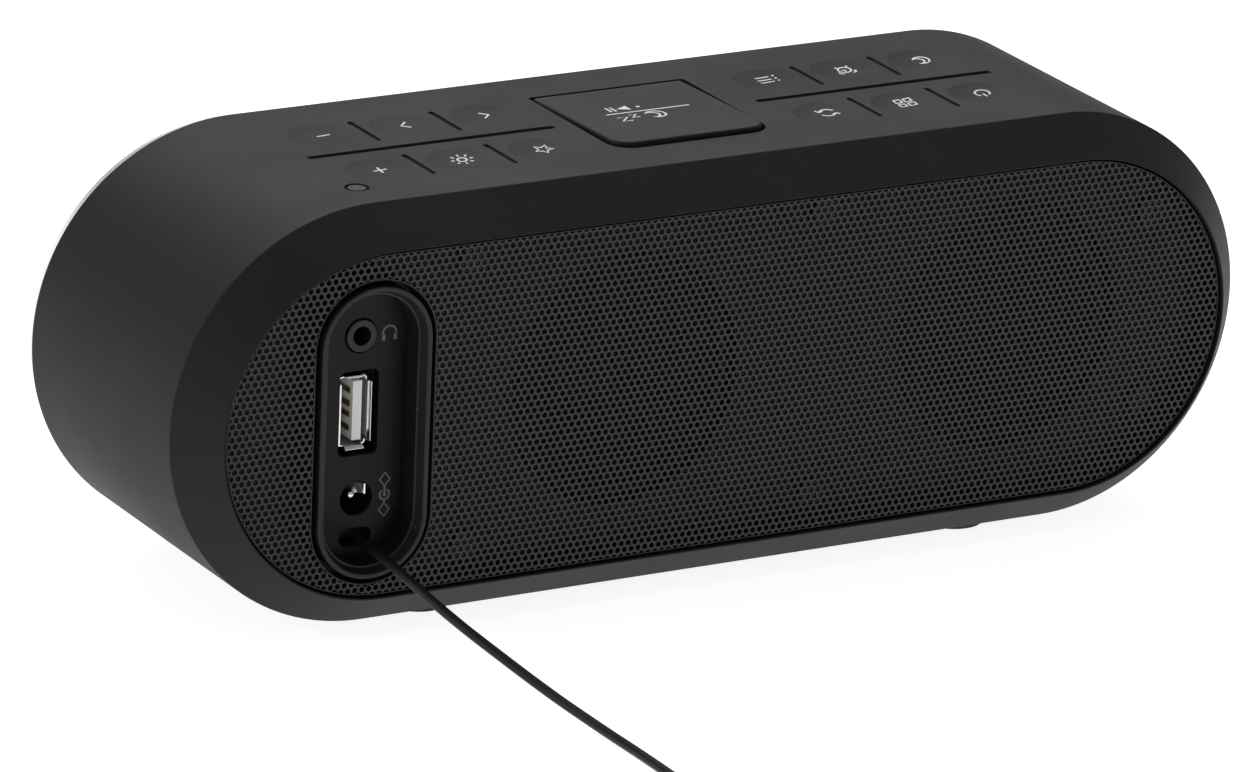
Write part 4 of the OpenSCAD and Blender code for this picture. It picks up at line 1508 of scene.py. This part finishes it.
def make_bay_floor():
    build = Builder()
    reach = floor_hi.x - BAY_X
    edge = 0.3 * MM
    outer = box_plan(BAY_X - reach, BAY_X + reach, BAY_Z - BAY_HALF - reach,
                     BAY_Z + BAY_HALF + reach, [reach] * 4, 16)
    openings = [
        circle_plan(BAY_X, PHONE_Z, 3.1 * MM, 40),
        box_plan(BAY_X - 3.8 * MM, BAY_X + 3.8 * MM, USB.z - 7.8 * MM, USB.z + 7.8 * MM, [1.1 * MM] * 4),
        circle_plan(BAY_X, POWER_Z, 3.1 * MM, 40),
        slot_plan(BAY_X - 3.1 * MM, BAY_X + 3.1 * MM, SLOT_Z - 1.6 * MM, SLOT_Z + 1.6 * MM, 8),
    ]
    place = lambda p, depth=0: Vector((p.x, Y_FLOOR + depth, p.y))
    front, back = Vector((0, 1, 0)), Vector((0, -1, 0))
    inward = lambda n: Vector((-n.x, 0, -n.y))
    thick = -2 * MM
    rings = [[p + n * edge for p, n in plan] for plan in openings]
    fill(build, [p for p, n in outer], rings, place, lambda p: front)
    fill(build, [p for p, n in outer], [[p for p, n in plan] for plan in openings],
         lambda p: place(p, thick), lambda p: back)
    for plan in openings:
        well(build, plan, edge_profile(edge) + [(0, thick, 90)], place, inward, lambda p: front)
    sides = [Vector((n.x, 0, n.y)) for p, n in outer]
    build.loft([place(p) for p, n in outer], [place(p, thick) for p, n in outer], sides, sides)
    lug_hi = Vector((middle_of("io_board").x - 0.9 * MM, Y_FLOOR + thick, BAY_Z + 6 * MM))
    lug_lo = Vector((lug_hi.x - 1.3 * MM, floor_lo.y, BAY_Z - 6 * MM))
    block(build, lug_lo, lug_hi)
    return build.piece("bay_plate", M["bay_floor_plastic"])


def block(build, lo, hi):
    """A plain closed block between two corners."""
    for axis in range(3):
        for end, sign in ((lo, -1), (hi, 1)):
            normal = Vector((0, 0, 0))
            normal[axis] = sign
            corners = []
            for a, b in ((0, 0), (1, 0), (1, 1), (0, 1)):
                corner = Vector((0, 0, 0))
                corner[axis] = end[axis]
                corner[(axis + 1) % 3] = (lo, hi)[a][(axis + 1) % 3]
                corner[(axis + 2) % 3] = (lo, hi)[b][(axis + 2) % 3]
                corners.append(corner)
            build.face(corners, [normal] * 4)


bay_plate = make_bay_floor()
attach(bay_plate, "cabinet")
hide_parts("bay_floor")
print("bay floor", round((Y_RING - Y_FLOOR) / MM, 1), "mm down the well")

# %% [markdown]
# ## Sockets
# The headphone socket shows a smooth collar round its bore. The USB socket is a folded steel shell,
# and each of its walls ends in a lip that flares out to guide the plug. In the power socket a
# bright leaf spring presses on the plug beside the middle pin.


# %% Socket collar, shell and leaf spring
def make_collar():
    build = Builder()
    face = Y_FLOOR + 0.35 * MM
    outline = rounded([
        (1.8 * MM, Y_FLOOR - 3 * MM, 0), (2.95 * MM, Y_FLOOR - 3 * MM, 0),
        (2.95 * MM, face, 0.3 * MM), (1.8 * MM, face, 0.3 * MM),
    ])
    sweep(build, outline, frame_path(BAY_X, BAY_X, PHONE_Z, PHONE_Z, 10))
    return build.piece("headphone_collar", M["collar_plastic"])


def make_usb_shell():
    """A folded steel box, and a lip of its own on each wall that flares out to guide the plug."""
    build = Builder()
    lo, hi = (Vector(corner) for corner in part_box("usb_shell"))
    corner, wall, flare = 0.5 * MM, 0.3 * MM, 0.45 * MM
    mouth, back, rim = hi.y, lo.y, hi.y - 1.5 * MM
    outline = rounded([
        (corner, back, 0), (corner + wall, back, 0), (corner + wall, rim, 0.08 * MM),
        (corner, rim, 0.08 * MM),
    ])
    inset = corner + wall
    sweep(build, outline, frame_path(lo.x + inset, hi.x - inset, lo.z + inset, hi.z - inset))
    plate_lo = Vector((lo.x + wall, back, lo.z + wall))
    plate_hi = Vector((hi.x - wall, back + wall, hi.z - wall))
    block(build, plate_lo, plate_hi)
    section = rounded([
        (-wall, rim - 0.2 * MM, 0), (0, rim - 0.2 * MM, 0), (0, mouth - 0.8 * MM, 0.3 * MM),
        (flare, mouth - 0.1 * MM, 0.1 * MM), (flare - wall, mouth + 0.1 * MM, 0.1 * MM),
        (-wall, mouth - 0.6 * MM, 0.3 * MM),
    ])
    middle, gap = (lo + hi) / 2, 1.0 * MM
    half_x, half_z = (hi.x - lo.x) / 2, (hi.z - lo.z) / 2
    for out, reach, half in (
        (Vector((1, 0, 0)), half_x, half_z - gap), (Vector((-1, 0, 0)), half_x, half_z - gap),
        (Vector((0, 0, 1)), half_z, half_x - gap), (Vector((0, 0, -1)), half_z, half_x - gap),
    ):
        along = Vector((0, 1, 0)).cross(out)
        base = Vector((middle.x, 0, middle.z)) + out * reach
        rings = [[base + along * end + out * u + Vector((0, v, 0)) for u, v, _, _ in section]
                 for end in (-half, half)]
        normals = [out * nu + Vector((0, nv, 0)) for _, _, nu, nv in section]
        build.loft(*rings, normals, normals)
        for ring, facing in zip(rings, (-along, along)):
            build.cap(ring, facing)
    return build.piece("usb_mouth", M["bright_metal"])


def make_leaf():
    """A flat leaf spring beside the pin, with its edge turned toward the mouth."""
    build = Builder()
    section = rounded([
        (-0.2 * MM, Y_FLOOR - 7.5 * MM, 0), (0.2 * MM, Y_FLOOR - 7.5 * MM, 0),
        (0.2 * MM, Y_FLOOR - 3.4 * MM, 0.15 * MM), (-1.9 * MM, Y_FLOOR - 1.3 * MM, 0.2 * MM),
        (-1.9 * MM, Y_FLOOR - 0.9 * MM, 0.1 * MM), (-2.3 * MM, Y_FLOOR - 0.9 * MM, 0.1 * MM),
        (-2.3 * MM, Y_FLOOR - 1.5 * MM, 0.2 * MM), (-0.2 * MM, Y_FLOOR - 3.6 * MM, 0.15 * MM),
    ])
    rings = [[Vector((BAY_X + u, v, POWER_Z + z)) for u, v, _, _ in section]
             for z in (0.3 * MM, 2.2 * MM)]
    normals = [Vector((nu, nv, 0)) for _, _, nu, nv in section]
    build.loft(*rings, normals, normals)
    for ring, sign in zip(rings, (-1, 1)):
        build.cap(ring, Vector((0, 0, sign)))
    return build.piece("power_leaf_spring", M["bright_metal"])


M["collar_plastic"] = finish(
    "collar_plastic", grey(0.012), grey(0.015), roughness=0.42, spread=0.06, specular=0.34,
    grains=4200, grain_height=0.01, patches=200,
)
collar, usb_mouth, leaf = make_collar(), make_usb_shell(), make_leaf()
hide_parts("usb_shell")
for piece, slot_name in ((collar, "socket_plastic"), (usb_mouth, "bright_metal"), (leaf, "bright_metal")):
    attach(piece, "cabinet")
print("sockets:", collar.name, usb_mouth.name, leaf.name)


# %% Symbols printed in the bay
def on_bay(x, z):
    return lambda p, lift: Vector((x + p.x, Y_FLOOR + lift, z + p.y))


HEADPHONES = (
    [arc(0, -0.2, 1.35, -15, 195, 22)], [],
    [[Vector(p) for p in ((x - 0.3, -1.5), (x + 0.3, -1.5), (x + 0.3, -0.3), (x - 0.3, -0.3))]
     for x in (-1.15, 1.15)],
)


def diamond(y):
    return [Vector(p) for p in ((0, y + 1.25), (-1.05, y), (0, y - 1.25), (1.05, y))]


POLARITY = (
    [line((0, 1.6), (0, 0.3)), line((0, -0.95), (0, -1.6)), arc(0, 0, 0.95, 120, 420, 22)],
    [diamond(2.85), diamond(-2.85)],
    [dot(0, 0, 0.34)],
)
MARK_X = BAY_X - 5.6 * MM
MARK_STROKE = 0.34 * MM
for name, symbol, z in (("symbol_headphones", HEADPHONES, PHONE_Z),
                        ("symbol_polarity", POLARITY, POWER_Z)):
    mark = print_symbol(name, symbol, on_bay(MARK_X, z), MARK_STROKE, M["bay_print"])
    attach(mark, "cabinet")
print("bay symbols printed")

# %% [markdown]
# ## Display side
# A satin silver ring frames a smoked lens on the front. The lens is clear resin with a dark tint,
# so the display behind it stays hidden until its figures light up. The figures are the seven
# straight segments of any clock, and show a plain time.

# %% Trim ring and smoked lens
trim_lo, trim_hi = (Vector(corner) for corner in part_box("front_trim"))
lens_lo, lens_hi = (Vector(corner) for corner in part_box("display_lens"))
GLASS_R = (lens_hi.z - lens_lo.z) / 2


def make_trim():
    build = Builder()
    bore = GLASS_R + 0.2 * MM
    outline = rounded([
        (bore, trim_lo.y, 0.3 * MM), (R - 1.2 * MM, trim_lo.y, 0.5 * MM),
        (R - 0.2 * MM, Y_SLEEVE, 0.12 * MM), (R - 2 * MM, Y_SLEEVE, 0), (R - 2 * MM, trim_hi.y, 0),
        (bore, trim_hi.y, 0),
    ])
    sweep(build, outline, pill_path(HALF_L, (0, ZC), 72))
    return build.piece("silver_front_ring", M["silver_trim"])


def make_lens():
    build = Builder()
    outline = rounded([
        (0, lens_lo.y, 0), (GLASS_R, lens_lo.y, 0.4 * MM), (GLASS_R, lens_hi.y, 0.1 * MM),
        (0, lens_hi.y, 0),
    ])
    sweep(build, outline, pill_path(HALF_L, (0, ZC), 72))
    return build.piece("smoked_window", M["smoked_lens"])


def smoked_resin():
    material = finish(
        "smoked_lens", grey(0.22), grey(0.26), roughness=0.05, spread=0.03, grains=900,
        grain_height=0.0008, patches=60, specks=0.0,
    )
    shader = material.node_tree.nodes["Principled BSDF"]
    shader.inputs["Transmission Weight"].default_value = 1.0
    shader.inputs["IOR"].default_value = 1.49
    return material


M["smoked_lens"] = smoked_resin()
trim, lens = make_trim(), make_lens()
for piece, node, slot_name in ((trim, "front_trim", "silver_trim"), (lens, "display_lens", "smoked_lens")):
    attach(piece, "cabinet")
    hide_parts(node)
print("lens radius", round(GLASS_R / MM, 1), "mm")


# %% Clock figures behind the lens
def glow(name, colour, strength):
    material = finish(name, grey(0.2), grains=3000, grain_height=0.004, patches=200)
    shader = material.node_tree.nodes["Principled BSDF"]
    shader.inputs["Emission Color"].default_value = colour
    shader.inputs["Emission Strength"].default_value = strength
    return material


panel_lo = Vector(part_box("display_panel")[0])
FIGURES = {
    "0": "abcdef", "1": "bc", "2": "abdeg", "3": "abcdg", "4": "bcfg",
    "5": "acdfg", "6": "acdefg", "7": "abc", "8": "abcdefg", "9": "abcdfg",
}


def figure_bars(x, z, width, height, lit):
    """Slim six-sided bars of one figure, as plan outlines."""
    bars = {
        "a": (0, 1, 1, 1), "g": (0, 0, 1, 0), "d": (0, -1, 1, -1),
        "f": (0, 0, 0, 1), "b": (1, 0, 1, 1), "e": (0, -1, 0, 0), "c": (1, -1, 1, 0),
    }
    half = 1.1
    for letter in lit:
        x0, z0, x1, z1 = bars[letter]
        a = Vector((x + (x0 - 0.5) * width, z + z0 * height / 2))
        b = Vector((x + (x1 - 0.5) * width, z + z1 * height / 2))
        along = (b - a).normalized()
        across = Vector((-along.y, along.x)) * half
        a, b = a + along * 0.35, b - along * 0.35
        yield [a, a + along * half + across, b - along * half + across, b,
               b - along * half - across, a + along * half - across]


def on_panel(p, lift):
    return Vector((p.x, panel_lo.y - 0.05 * MM - lift, ZC + p.y))


def clock_face(text):
    shapes = []
    for figure, x in zip(text, (-33, -13.5, 11, 30.5)):
        shapes += list(figure_bars(x, 0, 13, 24, FIGURES[figure]))
    shapes += [dot(-1.2, z, 1.2) for z in (-5, 5)]
    return ([], [], shapes)


clock = print_symbol("display_figures", clock_face("1024"), on_panel, MM, glow(
    "lit_figures", (1.0, 0.93, 0.82, 1), 5.0))
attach(clock, "cabinet")
print("clock shows four figures")

# %% [markdown]
# ## Feet and hidden parts
# Four soft pads carry the radio. Behind the covers lie the parts that a repairer would meet:
# boards, contacts, loudspeakers and screws. Their CAD shapes are right as they are, so each only
# takes the finish of its material slot.


# %% Feet
def make_foot(number):
    lo, hi = (Vector(corner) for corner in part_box(f"foot_{number}"))
    radius = (hi.x - lo.x) / 2
    build = Builder()
    groove = 0.25 * MM
    profile = [
        (0, hi.z, 0, 1), (radius - 0.2 * MM, hi.z, 0, 1), (radius, hi.z - 0.2 * MM, 1, 0),
        (radius, lo.z + 0.4 * MM, 1, 0), (radius - 0.12 * MM, lo.z + 0.12 * MM, 0.7, -0.7),
        (radius - 0.4 * MM, lo.z, 0, -1), (radius - 1.4 * MM, lo.z, 0, -1),
        (radius - 1.6 * MM, lo.z + groove, 0, -1), (radius - 2.4 * MM, lo.z + groove, 0, -1),
        (radius - 2.6 * MM, lo.z, 0, -1), (0, lo.z, 0, -1),
    ]
    turned_rings(build, ((lo + hi) / 2).to_2d(), profile, 40)
    return build.piece(f"foot_pad_{number}", M["foot_rubber"])


for number in range(1, 5):
    pad = make_foot(number)
    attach(pad, "cabinet")
    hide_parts(f"foot_{number}")
print("four feet")


# %% Finishes of the hidden parts
def board_pattern(nodes, links, shader, base):
    """Copper tracks under green lacquer: fine bands, broken up along their length."""
    place = nodes.new("ShaderNodeTexCoord")
    cells = nodes.new("ShaderNodeTexVoronoi")
    cells.distance = "MANHATTAN"
    cells.inputs["Scale"].default_value = 260
    links.new(place.outputs["Object"], cells.inputs["Vector"])
    tracks = math_node(nodes, links, "LESS_THAN", cells.outputs["Distance"], 0.42)
    mix = nodes.new("ShaderNodeMix")
    mix.data_type = "RGBA"
    mix.inputs["B"].default_value = (0.03, 0.16, 0.07, 1)
    links.new(math_node(nodes, links, "MULTIPLY", tracks, 0.6), mix.inputs["Factor"])
    links.new(base.outputs["Result"], mix.inputs["A"])
    links.new(mix.outputs["Result"], shader.inputs["Base Color"])


hidden = {
    "display_black": dict(colour=grey(0.012), roughness=0.45, grains=2600),
    "circuit_board": dict(colour=(0.012, 0.085, 0.035, 1), roughness=0.35, extra=board_pattern),
    "tinned_steel": dict(colour=grey(0.55), roughness=0.32, metallic=1.0, patches=120),
    "basket_steel": dict(colour=grey(0.03), roughness=0.5, grains=2600),
    "magnet_black": dict(colour=grey(0.05), roughness=0.6, grains=1400, grain_height=0.04),
    "cone_paper": dict(colour=grey(0.018), roughness=0.85, grains=900, grain_height=0.06),
    "surround_rubber": dict(colour=grey(0.012), roughness=0.6, grains=2600),
    "screw_steel": dict(colour=grey(0.06), roughness=0.36, metallic=1.0, patches=300),
}
for name, values in hidden.items():
    M[name] = finish(name, **values)

slot_of = {part["node"]: part["material_slot"] for part in frame["record"]["subparts"]}
# The sensor's ring is a blacker plastic than the rest of its slot.
special = {"sensor_ring": "ring_black"}
for node, thing in frame["nodes"].items():
    thing.data.materials.clear()
    thing.data.materials.append(M[special.get(node, slot_of[node])])
print(len(frame["nodes"]), "CAD nodes have a finish")
